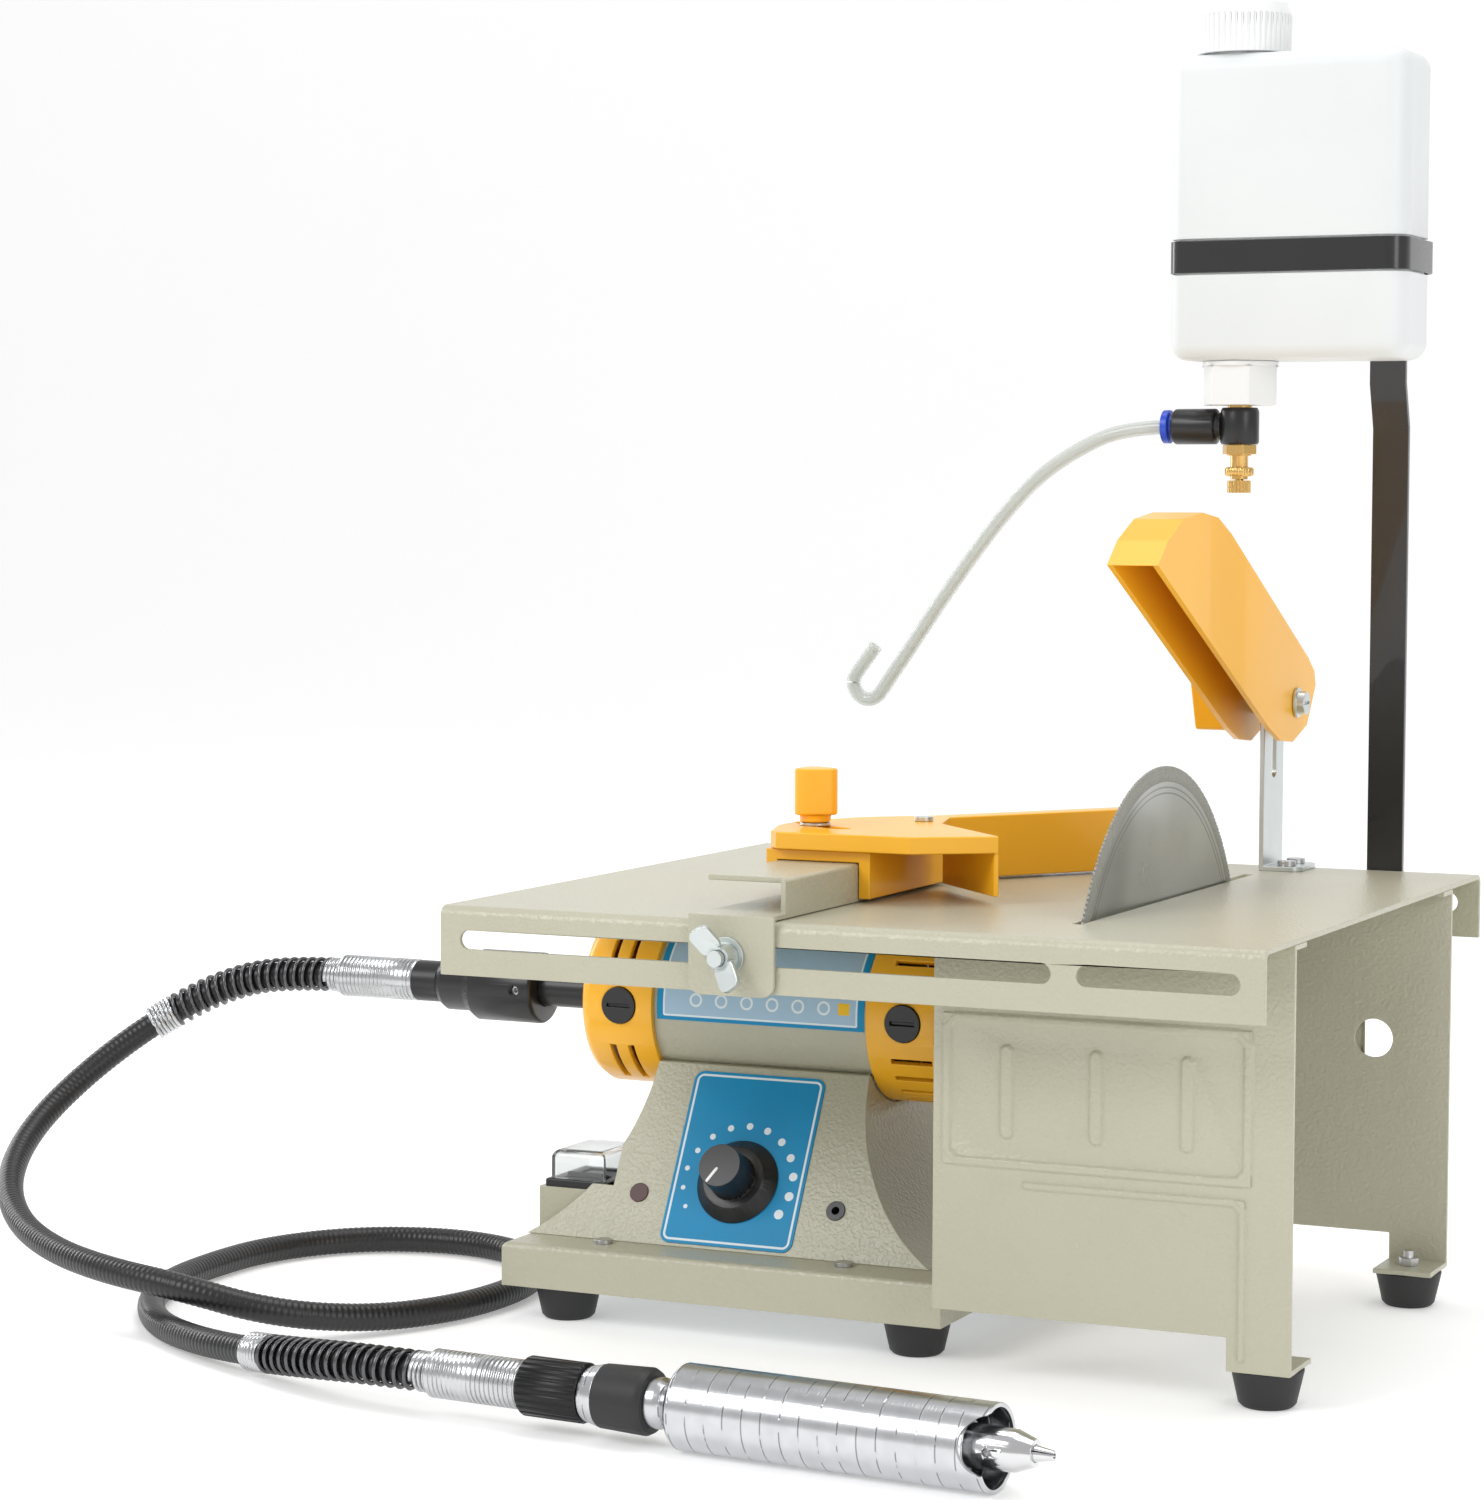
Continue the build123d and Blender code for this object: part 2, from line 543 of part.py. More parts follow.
def blade_flange(side):
    """A flange that grips the blade."""
    near, mid, far = (BLADE_X + side * d for d in (BLADE_T / 2, 3.2, 9.0))
    return turned_x([(near, SHAFT_R + 0.02), (near, 22.0), (mid, 22.0), (mid + side * 1.2, 11.0),
                     (far, 11.0), (far, SHAFT_R + 0.02)])


def arbor_nut():
    """The nut outside the blade."""
    x = BLADE_X + 9.0
    return hexagon_x(x, x + 7.0, 17.0, bore=SHAFT_R + 0.02)


# ---- flexible shaft -----------------------------------------------------------------------
def motor_nose():
    """The threaded black nose on the left cap that the coupling clamps on."""
    flange = rod_x(LEFT_END - 2.0, LEFT_END, 13.5)
    return rod_x(-206.8, LEFT_END, 7.3) + flange - rod_x(-208, LEFT_END + 1, SHAFT_R + 0.6)


def shaft_coupling():
    """A three-step black coupling, hollow, over the motor's nose."""
    body = turned_x([(-249, 3.6), (-249, 8.5), (-237, 8.5), (-237, 9.0), (-233.5, 11.3), (-223.5, 11.3),
                     (-218.5, 14.6), (-190.5, 14.6), (-189.5, 13.6), (-189.5, 7.32), (-207.0, 7.32),
                     (-207.0, 3.6)])
    for angle in (90, 200, 270):
        body -= Pos(0, AXIS_Y, AXIS_Z) * Rot(angle, 0, 0) * Pos(-197, 0, 12) * Cylinder(2.0, 10.0)
    return body


def coupling_screws():
    """The set screws of the coupling."""
    screws = []
    for angle in (90, 200, 270):
        screw = Pos(-197, 0, 9.9) * (Cylinder(1.95, 5.1) - Pos(0, 0, 2) * Cylinder(0.9, 3))
        screws.append(Pos(0, AXIS_Y, AXIS_Z) * Rot(angle, 0, 0) * screw)
    return group(screws)


def threads_x(x0, x1, r, bore, pitch, y, z):
    """A ferrule with turned grooves for a thread, along X."""
    profile = [(x0, bore), (x0, r - 0.4)]
    n = max(2, round((x1 - x0) / pitch))
    step = (x1 - x0) / n
    for k in range(n):
        profile += [(x0 + (k + 0.25) * step, r), (x0 + (k + 0.75) * step, r)]
        if k < n - 1:
            profile.append((x0 + (k + 1) * step, r - 0.4))
    profile += [(x1, r - 0.4), (x1, bore)]
    return turned_x(profile, y, z)


def motor_ferrule():
    """The threaded ferrule at the motor end."""
    return threads_x(-285.0, -249.0, 8.7, 3.6, 1.8, AXIS_Y, AXIS_Z)


def hand_ferrule():
    """The threaded ferrule at the handpiece."""
    return HAND * threads_x(-111.0, NUT_X0 + 5.5, 8.6, 3.6, 1.8, 0, 0)


# ---- handpiece, along its own +X from the knurled nut ----------------------------------------
NUT_X0, NUT_X1 = -73.0, -48.5
RING_X1, RUBBER_X1, NECK_X1 = -42.0, -22.5, -12.0
SLEEVE_X1 = 105.0
BODY_X1 = NECK_X1 + 14.0


def hand_turned(profile):
    """A turned shape on the handpiece axis."""
    return turned_x(profile, 0, 0)


def knurled_nut():
    """The knurled nut of the handpiece."""
    body = hand_turned([(NUT_X0, 8.9), (NUT_X0, 9.6), (NUT_X0 + 1, 10.4), (NUT_X1 - 1, 10.4),
                        (NUT_X1, 9.6), (NUT_X1, 8.9)])
    for k in range(24):
        a = math.radians(15 * k)
        body -= rod_x(NUT_X0 - 1, NUT_X1 + 1, 0.45, 10.5 * math.cos(a), 10.5 * math.sin(a))
    return HAND * body


def hand_tail():
    """The handpiece's threaded tail, inside the knurled nut, and the ring before it."""
    return hand_turned([(NUT_X0 + 6, 3.6), (NUT_X0 + 6, 8.6), (NUT_X1 + 0.2, 8.6), (NUT_X1 + 0.2, 9.4),
                        (RING_X1, 10.9), (RING_X1, 3.6)])


def rubber_sleeve():
    """The rubber sleeve of the handpiece."""
    return HAND * hand_turned([(RING_X1, 3.6), (RING_X1, 11.0), (RUBBER_X1 - 2, 11.6), (RUBBER_X1, 10.6),
                               (RUBBER_X1, 3.6)])


def handpiece_neck():
    """The neck between the rubber and the sleeve."""
    return hand_turned([(RUBBER_X1, 4.4), (RUBBER_X1, 8.8), (-19.0, 8.8), (-17.0, 7.4), (-14.5, 8.6),
                        (NECK_X1, 12.4), (BODY_X1, 12.4), (BODY_X1, 4.4)])


def handpiece_sleeve():
    """A long aluminium sleeve on the neck; its front is cut away round the chuck."""
    body = hand_turned([(NECK_X1, 12.44), (NECK_X1, 13.4), (NECK_X1 + 1.5, SLEEVE_R), (SLEEVE_X1, SLEEVE_R),
                        (SLEEVE_X1, SLEEVE_R - 1.6), (BODY_X1, SLEEVE_R - 1.6), (BODY_X1, 12.44)])
    return body - rod_y(-30, -2, 9.5, SLEEVE_X1 + 1.5, 3)


def handpiece_body():
    """Tail, neck and sleeve: three aluminium pieces on one axis."""
    return HAND * group([hand_tail(), handpiece_neck(), handpiece_sleeve()])


def hand_bearing(x0, x1):
    """A bearing inside the handpiece."""
    return HAND * (rod_x(x0, x1, SLEEVE_R - 1.62, 0, 0) - rod_x(x0 - 1, x1 + 1, 4.02, 0, 0))


def chuck():
    """A keyed chuck on its spindle: the geared ring behind, the tapered nose, three jaws."""
    body = hand_turned([(BODY_X1 + 2, 0), (BODY_X1 + 2, 4.0), (72.0, 4.0), (72.0, 9.2), (94.0, 9.2),
                        (95.5, 8.2), (95.5, 7.4), (112.0, 7.0), (118.5, 4.6), (118.5, 2.9),
                        (92.0, 2.9), (92.0, 0)])
    for k in range(3):
        body -= Pos(104.0, 0, 0) * Rot(120 * k + 90, 0, 0) * Pos(0, 0, 6) * Cylinder(1.4, 6)
    return HAND * group([body, chuck_jaws()])


def chuck_jaws():
    """Three jaws round a small hole, tapered at the tip."""
    cone = turned_x([(93, 0), (93, 2.85), (118, 2.85), (125, 1.7), (125, 0)], 0, 0)
    jaws = []
    for k in range(3):
        jaw = cone - rod_x(92.0, 126.0, 0.9, 0, 0)
        sector = prism_x([(0.0, 0.25), (5.6, 3.45), (0.0, 9.0), (-5.6, 3.45)], 92, 126)
        jaws.append(Rot(120 * k, 0, 0) * (jaw & sector))
    return group(jaws)


# ---- fence --------------------------------------------------------------------------------
def fence_rail():
    """A channel that opens to the left; its bottom flange folds down over the skirt as a tab."""
    x0, x1, z0, z1 = RAIL_X0, RAIL_X1, RAIL_Z0, RAIL_TOP
    front = -TABLE_Y - 0.4
    bottom = block(x0 + 3, x1, front - SHEET, RAIL_Y1, z0, z0 + SHEET)
    web = block(x1 - SHEET, x1, RAIL_Y0, RAIL_Y1, z0, z1)
    top = block(x0, x1, RAIL_Y0 + 4, RAIL_Y1, z1 - SHEET, z1)
    tab = block(x0 + 1, x1 + 2, front - SHEET, front, 141.0, z0 + SHEET)
    tab = fillet(tab.edges().filter_by(Axis.Y).group_by(Axis.Z)[0], 5.0)
    body = bottom + web + top + tab
    body = fillet(body.edges().filter_by(Axis.Y).filter_by(
        lambda e: abs(e.center().X - x1) < 0.01 and abs(e.center().Z - z1) < 0.01), 1.5)
    return body - rod_y(front - 5, front + 5, 3.2, CLAMP_X, CLAMP_Z)


TAB_Y = -TABLE_Y - 0.4 - SHEET


def clamp_bolt():
    """A carriage bolt with its head and a washer behind the skirt, through the slot and the tab."""
    back = -TABLE_Y + SHEET + 0.2
    return (rod_y(TAB_Y - 11.0, back + 1, 2.95, CLAMP_X, CLAMP_Z)
            + rod_y(back, back + 1.2, 7.5, CLAMP_X, CLAMP_Z)
            + rod_y(back + 1.2, back + 4.0, 5.5, CLAMP_X, CLAMP_Z))


def clamp_washer():
    """The washer under the wing nut."""
    return rod_y(TAB_Y - 1.4, TAB_Y, 7.1, CLAMP_X, CLAMP_Z) - rod_y(TAB_Y - 3, TAB_Y + 1, 3.2, CLAMP_X, CLAMP_Z)


def wing_nut():
    """The wing nut of the fence clamp."""
    hub = Cone(5.4, 4.2, 6.5, align=(Align.CENTER, Align.CENTER, Align.MIN))
    body = Pos(CLAMP_X, TAB_Y - 1.6, CLAMP_Z) * Rot(90, 0, 0) * hub
    for side in (-1, 1):
        wing = Pos(side * 8.5, 0, 0) * Box(11.0, 2.4, 8.5)
        wing = fillet(wing.edges().filter_by(Axis.Y), 3.0)
        wing = Pos(CLAMP_X, TAB_Y - 5.4, CLAMP_Z) * Rot(0, 55, 0) * Rot(0, 0, -side * 24) * wing
        body += wing
    return body - rod_y(TAB_Y - 30, TAB_Y, 3.0, CLAMP_X, CLAMP_Z)


def on_circle(radius, degrees, centre=PIVOT):
    """A point on a circle round the mitre pivot."""
    a = math.radians(degrees)
    return (centre[0] + radius * math.cos(a), centre[1] + radius * math.sin(a))


LOCK_AT = on_circle(LOCK_R, LOCK_ANGLE)


def mitre_saddle():
    """The slide on the rail: a top strip, a wall beside the web and a hook below the flange."""
    z0, z1 = RAIL_TOP + 0.25, PLATE_Z0 - 0.25
    x0, x1 = RAIL_X0 - 5.0, RAIL_X1 + 5.0
    y0, y1 = -70.0, 8.0
    top = block(x0, x1, y0, y1, z0, z1)
    wall = block(RAIL_X1 + 0.35, x1, y0, y1, 169.4, z0)
    hook = block(x0, RAIL_X0 - 0.35, y0, y1, 177.6, z0)
    hook += block(x0, RAIL_X0 + 6, y0, y1, 177.6, RAIL_TOP - SHEET - 0.3)
    body = top + wall + hook
    body -= rod_z(z1 - 3.5, z1 + 1, 2.0, *PIVOT)
    return body - rod_z(z1 - 3.5, z1 + 1, 2.0, *LOCK_AT)


def arm_point(along_arm, left):
    """A point from the arm's front face line: distance along it, and to its left."""
    a = math.radians(ARM_ANGLE)
    ux, uy = math.cos(a), math.sin(a)
    return (-15.0 + along_arm * ux - left * uy, 28.0 + along_arm * uy + left * ux)


def mitre_arm():
    """The fence arm and its fan plate, in one moulding that swings about the pivot screw."""
    end = 104.0
    plate = prism_z([(-60, -70), (-56, -74), (-1, -74), (27, -54), (-14, -10), arm_point(-12, 0),
                     arm_point(-12, 11), (-52, 6), (-68, -24), (-68, -46)], PLATE_Z0, PLATE_Z1)
    bar = prism_z([arm_point(-12, 0), arm_point(end, 0), arm_point(end, 11), arm_point(-12, 11)],
                  169.2, PLATE_Z1)
    bar -= prism_z([arm_point(4, 2.4), arm_point(end - 2.4, 2.4), arm_point(end - 2.4, 8.6),
                    arm_point(4, 8.6)], 169.0, PLATE_Z1 - 3)
    bar -= block(-60, RAIL_X1 + 8, -10, 60, 169.0, PLATE_Z0)
    skirt = prism_z([(25, -54.4), (27, -54), (-9.5, -13.6), (-11.5, -15.6)], 171.0, PLATE_Z0 + 1)
    body = plate + bar + skirt
    return body - arc_slot(LOCK_R, 213, 251, 3.2, PLATE_Z0 - 1, PLATE_Z1 + 1) - rod_z(150, 250, 2.15, *PIVOT)


def arc_slot(radius, start, stop, half, z0, z1):
    """A curved slot round the pivot, from start to stop degrees."""
    ring = rod_z(z0, z1, radius + half, *PIVOT) - rod_z(z0 - 1, z1 + 1, radius - half, *PIVOT)
    far = 90.0
    outline = [PIVOT, on_circle(far, start), on_circle(far * 1.1, (start + stop) / 2), on_circle(far, stop)]
    slot = ring & prism_z(outline, z0, z1)
    for a in (start, stop):
        slot += rod_z(z0, z1, half, *on_circle(radius, a))
    return slot


def pivot_screw():
    """The screw that the arm turns on."""
    z = PLATE_Z1 + 0.1
    return rod_z(PLATE_Z0 - 3.5, z + 0.5, 1.98, *PIVOT) + rod_z(z, z + 1.8, 3.8, *PIVOT)


def lock_stud():
    """The stud and washer that stand in the arc slot."""
    return (rod_z(PLATE_Z0 - 3.5, PLATE_Z1 + 11.0, 1.98, *LOCK_AT)
            + (rod_z(PLATE_Z1 + 0.1, PLATE_Z1 + 1.1, 6.0, *LOCK_AT)))


def lock_knob():
    """A moulded three-wing knob on a round stem."""
    z = PLATE_Z1 + 1.3
    x, y = LOCK_AT
    stem = rod_z(z, z + 4.0, 6.0, x, y)
    head = Pos(x, y, z + 3.0) * extrude(fillet(RegularPolygon(13.0, 3).vertices(), 4.0), 18.0)
    return stem + head - rod_z(z - 1, z + 12.0, 2.05, x, y)


# ---- blade guard --------------------------------------------------------------------------
def guard_bracket():
    """An angle bracket on the table behind the blade, with a slot for the hood's bolt."""
    x0 = GUARD_X - 1.0
    plate = block(x0, x0 + 2.0, BRACKET_Y0, BRACKET_Y1, TOP_Z, 252.0)
    plate = fillet(plate.edges().filter_by(Axis.X).group_by(Axis.Z)[-1], 13.0)
    base = block(x0, x0 + 17.5, BRACKET_Y0, BRACKET_Y1, TOP_Z, TOP_Z + 2.0)
    base = fillet(base.edges().filter_by(Axis.Z).group_by(Axis.X)[-1], 5.0)
    body = plate + base
    body -= block(x0 - 1, x0 + 3, GUARD_PIVOT[0] - 3.2, GUARD_PIVOT[0] + 3.2, 209.0, 244.0)
    for z in (209.0, 244.0):
        body -= rod_x(x0 - 1, x0 + 3, 3.2, GUARD_PIVOT[0], z)
    for y in GUARD_SCREWS_Y:
        body -= rod_z(TOP_Z - 1, TOP_Z + 5, 2.1, GUARD_SCREW_X, y)
    return body


def bracket_screw(y):
    """A screw that holds the guard bracket."""
    return (rod_z(TOP_Z - 6.0, TOP_Z + 3.0, 2.0, GUARD_SCREW_X, y)
            + rod_z(TOP_Z + 2.0, TOP_Z + 4.0, 3.8, GUARD_SCREW_X, y)
            + hexagon_z(TOP_Z - SHEET - 3.0, TOP_Z - SHEET, 7.0, GUARD_SCREW_X, y))


HOOD = [(-44, 296), (84, 235), (99, 228), (114, 222.5), (131, 221), (151, 227), (163, 243), (161, 249),
        (152, 255), (45, 307), (28, 313.5), (8, 315.5), (-14, 313), (-33, 305)]


def guard_hood():
    """A hollow hood, open below, with two cheeks for the bolt."""
    outer = prism_x(HOOD, GUARD_X - GUARD_HALF, GUARD_X + GUARD_HALF)
    inner = prism_x([(-60, 290), (-38.5, 297.5), (-30, 303.0), (-12.5, 310.6), (8, 313.0), (27, 311), (43.5, 304.6),
                     (150.5, 252.6), (158.5, 247.2), (160.2, 242.6), (156.0, 236.0), (168, 200), (90, 200)],
                    GUARD_X - GUARD_HALF + 2.2, GUARD_X + GUARD_HALF - 2.2)
    body = outer - inner
    return body - rod_x(0, 150, 3.05, *GUARD_PIVOT)


def guard_bolt():
    """The hood's bolt, with its head and washer on the right."""
    y, z = GUARD_PIVOT
    x0, x1 = GUARD_X - GUARD_HALF, GUARD_X + GUARD_HALF
    body = rod_x(x0 - 22.0, x1 + 1.4, 2.95, y, z)
    body += rod_x(x1 + 0.2, x1 + 1.4, 6.2, y, z)
    body += rod_x(x1 + 1.4, x1 + 4.6, 4.8, y, z) - block(x1 + 3.4, x1 + 6, y - 4, y + 4, z - 0.6, z + 0.6)
    return body


def bolt_spacers():
    """Two short tubes on the bolt that centre the bracket in the hood."""
    y, z = GUARD_PIVOT
    tubes = []
    for x0, x1 in ((GUARD_X - 7.6, GUARD_X - 1.3), (GUARD_X + 1.3, GUARD_X + 7.6)):
        tubes.append(rod_x(x0, x1, 5.0, y, z) - rod_x(x0 - 1, x1 + 1, 2.95, y, z))
    return group(tubes)


def guard_knob():
    """The wing knob of the guard."""
    y, z = GUARD_PIVOT
    x1 = GUARD_X - GUARD_HALF - 0.3
    stem = rod_x(x1 - 8.0, x1, 6.0, y, z)
    wing = Pos(x1 - 15.5, y, z) * Rot(20, 0, 0) * Box(15.5, 8.0, 25.0)
    wing = fillet(wing.edges().filter_by(Axis.X), 2.5)
    return stem + wing - rod_x(x1 - 22, x1 + 1, 3.0, y, z)


# ---- water feed ---------------------------------------------------------------------------
def bottle_bar():
    """A flat bar bolted behind the rear skirt, that steps forward below the bottle."""
    y = TABLE_Y
    outline = [(y, 144.0), (y, 350.0), (y - 6.0, 368.0), (y - 6.0, 442.0), (y - 3.0, 442.0),
               (y - 3.0, 368.9), (y + 3.0, 350.9), (y + 3.0, 144.0)]
    body = prism_x(outline, 112.0, 127.0)
    for x in BAR_SCREWS_X:
        body -= rod_y(y - 1, y + 5, 2.1, x, BAR_SCREW_Z)
    return body


def bar_screw(x):
    """A screw that holds the bottle bar."""
    y = TABLE_Y
    return (rod_y(y - 7.0, y + 4.0, 2.0, x, BAR_SCREW_Z) + rod_y(y + 3.0, y + 5.2, 4.0, x, BAR_SCREW_Z)
            + (rod_y(y - SHEET - 3.2, y - SHEET, 3.9, x, BAR_SCREW_Z)))


STRAP_Z0, STRAP_Z1 = 412.0, 425.0


def rounded_column(x0, x1, y0, y1, z0, z1, r):
    """An upright block with rounded corners."""
    face = RectangleRounded(x1 - x0, y1 - y0, r)
    return Pos((x0 + x1) / 2, (y0 + y1) / 2, z0) * extrude(face, z1 - z0)


def bottle_strap():
    """A band round the bottle and the bar."""
    g = 0.25
    outer = rounded_column(BOTTLE_X0 - g, BOTTLE_X1 + g, BOTTLE_Y0 - g, TABLE_Y - 2.6, STRAP_Z0, STRAP_Z1, 9.0)
    inner = rounded_column(BOTTLE_X0 - g + 1.0, BOTTLE_X1 + g - 1.0, BOTTLE_Y0 - g + 1.0, TABLE_Y - 2.6 - 1.0,
                           STRAP_Z0 - 1, STRAP_Z1 + 1, 8.0)
    return outer - inner - block(111.8, 127.2, BOTTLE_Y1, TABLE_Y + 5, STRAP_Z0 - 1, STRAP_Z1 + 1)


def bottle():
    """A square bottle with a waist groove, a neck on top and an outlet neck below."""
    x0, x1, y0, y1, z0, z1 = BOTTLE_X0, BOTTLE_X1, BOTTLE_Y0, BOTTLE_Y1, BOTTLE_Z0, BOTTLE_Z1
    wall = 1.6
    outer = rounded_column(x0, x1, y0, y1, z0, z1, 10.0)
    outer = fillet(outer.edges().group_by(Axis.Z)[0] + outer.edges().group_by(Axis.Z)[-1], 7.0)
    inner = rounded_column(x0 + wall, x1 - wall, y0 + wall, y1 - wall, z0 + wall, z1 - wall, 8.4)
    inner = fillet(inner.edges().group_by(Axis.Z)[0] + inner.edges().group_by(Axis.Z)[-1], 5.4)
    g = 1.2
    ring = (rounded_column(x0 - 1, x1 + 1, y0 - 1, y1 + 1, STRAP_Z0 - 0.8, STRAP_Z1 + 0.8, 11.0)
            - rounded_column(x0 + g, x1 - g, y0 + g, y1 - g, STRAP_Z0 - 2, STRAP_Z1 + 2, 9.0))
    inner -= (rounded_column(x0 - 1, x1 + 1, y0 - 1, y1 + 1, STRAP_Z0 - 2.2, STRAP_Z1 + 2.2, 11.0)
              - rounded_column(x0 + 2.8, x1 - 2.8, y0 + 2.8, y1 - 2.8, STRAP_Z0 - 3, STRAP_Z1 + 3, 7.4))
    body = outer - ring + rod_z(z1 - 1, z1 + 16.0, 16.0, VALVE_X, VALVE_Y)
    body += rod_z(z0 - 17.0, z0 + 1, 8.4, VALVE_X, VALVE_Y)
    body -= inner
    body -= rod_z(z1 - 5, z1 + 20, 14.2, VALVE_X, VALVE_Y)
    return body - rod_z(z0 - 20, z0 + 5, 6.4, VALVE_X, VALVE_Y)


def bottle_cap():
    """A ribbed screw cap."""
    z = BOTTLE_Z1 + 0.8
    body = turned_z([(16.4, z), (19.0, z), (19.3, z + 15.0), (17.6, z + 20.5), (15.0, z + 21.5), (0, z + 21.5),
                     (0, z + 19.5), (16.4, z + 19.5)], VALVE_X, VALVE_Y)
    for k in range(48):
        a = math.radians(7.5 * k)
        body -= rod_z(z - 1, z + 15.5, 0.45, VALVE_X + 19.35 * math.cos(a), VALVE_Y + 19.35 * math.sin(a))
    return body


def outlet_nut():
    """A white hexagonal fitting on the outlet neck."""
    z0, z1 = BOTTLE_Z0 - 18.0, BOTTLE_Z0 - 0.1
    body = hexagon_z(z0, z1 - 2.0, 27.0, VALVE_X, VALVE_Y) + rod_z(z1 - 2.0, z1, 15.5, VALVE_X, VALVE_Y)
    body -= rod_z(z0 + 1.0, z1 + 1, 8.42, VALVE_X, VALVE_Y)
    return body - rod_z(z0 - 1, z1, 5.0, VALVE_X, VALVE_Y)


def valve_stem():
    """The metal threaded stem that the elbow turns on."""
    return (rod_z(ELBOW_Z - 12.0, BOTTLE_Z0 - 12.0, 4.95, VALVE_X, VALVE_Y)
            - rod_z(ELBOW_Z + 2.0, BOTTLE_Z0, 2.5, VALVE_X, VALVE_Y)
            - rod_z(ELBOW_Z - 13, ELBOW_Z - 2, 1.9, VALVE_X, VALVE_Y))


def valve_elbow():
    """The black elbow: a turning collar and a side branch for the hose."""
    collar = turned_z([(5.02, ELBOW_Z - 7.4), (7.4, ELBOW_Z - 7.4), (7.9, ELBOW_Z - 6.4), (7.9, ELBOW_Z + 6.0),
                       (7.2, ELBOW_Z + 7.6), (5.02, ELBOW_Z + 7.6)], VALVE_X, VALVE_Y)
    branch = turned_x([(VALVE_X - 7.0, 0), (VALVE_X - 7.0, 5.6), (VALVE_X - 9.0, 5.6), (VALVE_X - 10.0, 7.3),
                       (VALVE_X - 27.0, 7.3), (VALVE_X - 27.8, 6.6), (VALVE_X - 27.8, 5.2),
                       (VALVE_X - 22.8, 5.2), (VALVE_X - 22.8, HOSE_R + 0.05), (VALVE_X - 12, HOSE_R + 0.05),
                       (VALVE_X - 12, 0)], VALVE_Y, ELBOW_Z)
    return collar + (branch - rod_z(300, 400, 5.02, VALVE_X, VALVE_Y))


def release_ring():
    """The push ring that frees the hose."""
    x = VALVE_X - 24.3
    return turned_x([(x, 4.9), (x, HOSE_R + 0.1), (x - 8.0, HOSE_R + 0.1), (x - 8.0, 6.9), (x - 5.2, 6.9),
                     (x - 5.0, 4.9)], VALVE_Y, ELBOW_Z)


def valve_brass():
    """The brass body that holds the needle, screwed up into the stem."""
    z = ELBOW_Z - 7.6
    return (hexagon_z(z - 3.8, z, 12.5, VALVE_X, VALVE_Y) + rod_z(z - 14.0, z - 3.8, 3.6, VALVE_X, VALVE_Y)
            - rod_z(z - 15, z + 1, 1.95, VALVE_X, VALVE_Y) - rod_z(z - 2.4, z + 1, 4.97, VALVE_X, VALVE_Y))


def needle():
    """The needle and its knurled knob."""
    top, low = ELBOW_Z - 3.0, 323.4
    body = rod_z(low, top - 3, 1.85, VALVE_X, VALVE_Y)
    body += turned_z([(0, top - 3.2), (1.85, top - 3.2), (0.3, top), (0, top)], VALVE_X, VALVE_Y)
    knob = rod_z(low, low + 5.0, 4.8, VALVE_X, VALVE_Y)
    for k in range(20):
        a = math.radians(18 * k)
        knob -= rod_z(low - 1, low + 6, 0.4, VALVE_X + 4.9 * math.cos(a), VALVE_Y + 4.9 * math.sin(a))
    return body + knob


def needle_nut():
    """The knurled lock nut of the needle."""
    z = 330.2
    body = turned_z([(3.63, z), (5.4, z), (5.9, z + 0.8), (5.9, z + 2.9), (5.4, z + 3.6), (3.63, z + 3.6)],
                    VALVE_X, VALVE_Y)
    for k in range(20):
        a = math.radians(18 * k)
        body -= rod_z(z - 1, z + 5, 0.4, VALVE_X + 6.0 * math.cos(a), VALVE_Y + 6.0 * math.sin(a))
    return body


# ---- free tubes ---------------------------------------------------------------------------
def corner_radii(route):
    """For each corner: 0.45 of its shorter run, divided by the tangent of half the turn."""
    radii = []
    for a, b, c in zip(route, route[1:], route[2:]):
        first, second = Vector(*b) - Vector(*a), Vector(*c) - Vector(*b)
        turn = math.radians(first.get_angle(second))
        radii.append(0.45 * min(first.length, second.length) / math.tan(turn / 2))
    return radii


def free_tube(name, route, r, bore=0.0):
    """A tube along straight runs and tangent arcs; prints its radii and compares its volume."""
    radii = corner_radii(route)
    path = FilletPolyline(*route, radius=radii)
    start = Plane(origin=path @ 0, z_dir=path % 0)
    section = Circle(r) - Circle(bore) if bore else Circle(r)
    tube = sweep(start * section, path=path)
    area = math.pi * (r * r - bore * bore)
    print(name, "length", round(path.length, 1), "least radius", round(min(radii), 1), "in diameters",
          round(min(radii) / (2 * r), 2), "radii", [round(v) for v in radii],
          "volume ratio", round(tube.volume / (area * path.length), 4))
    return tube


def spring_sleeve(route):
    """A sleeve round the route's first runs, to the middle of the last one."""
    middle = (Vector(*route[-2]) + Vector(*route[-1])) / 2
    runs = [*route[:-1], tuple(middle)]
    path = FilletPolyline(*runs, radius=corner_radii(route)[:len(runs) - 2])
    start = Plane(origin=path @ 0, z_dir=path % 0)
    return sweep(start * (Circle(SPRING_R) - Circle(CABLE_R + 0.05)), path=path)


def fixing_screws():
    """Every small screw that only holds: feet, tray, coupling, guard bracket and bottle bar."""
    return group([foot_screw(x, y) for x, y in FEET] + [tray_screw(x, y) for x, y in TRAY_SCREWS]
                 + [bracket_screw(y) for y in GUARD_SCREWS_Y] + [bar_screw(x) for x in BAR_SCREWS_X]
                 + [coupling_screws()])


def shaft_springs():
    """The kink springs at the cable's ends, as sleeves over the cable."""
    ends = (SHAFT_ROUTE[:SPRING_RUNS + 1], SHAFT_ROUTE[::-1][:SPRING_RUNS + 1])
    return group([spring_sleeve(route) for route in ends])


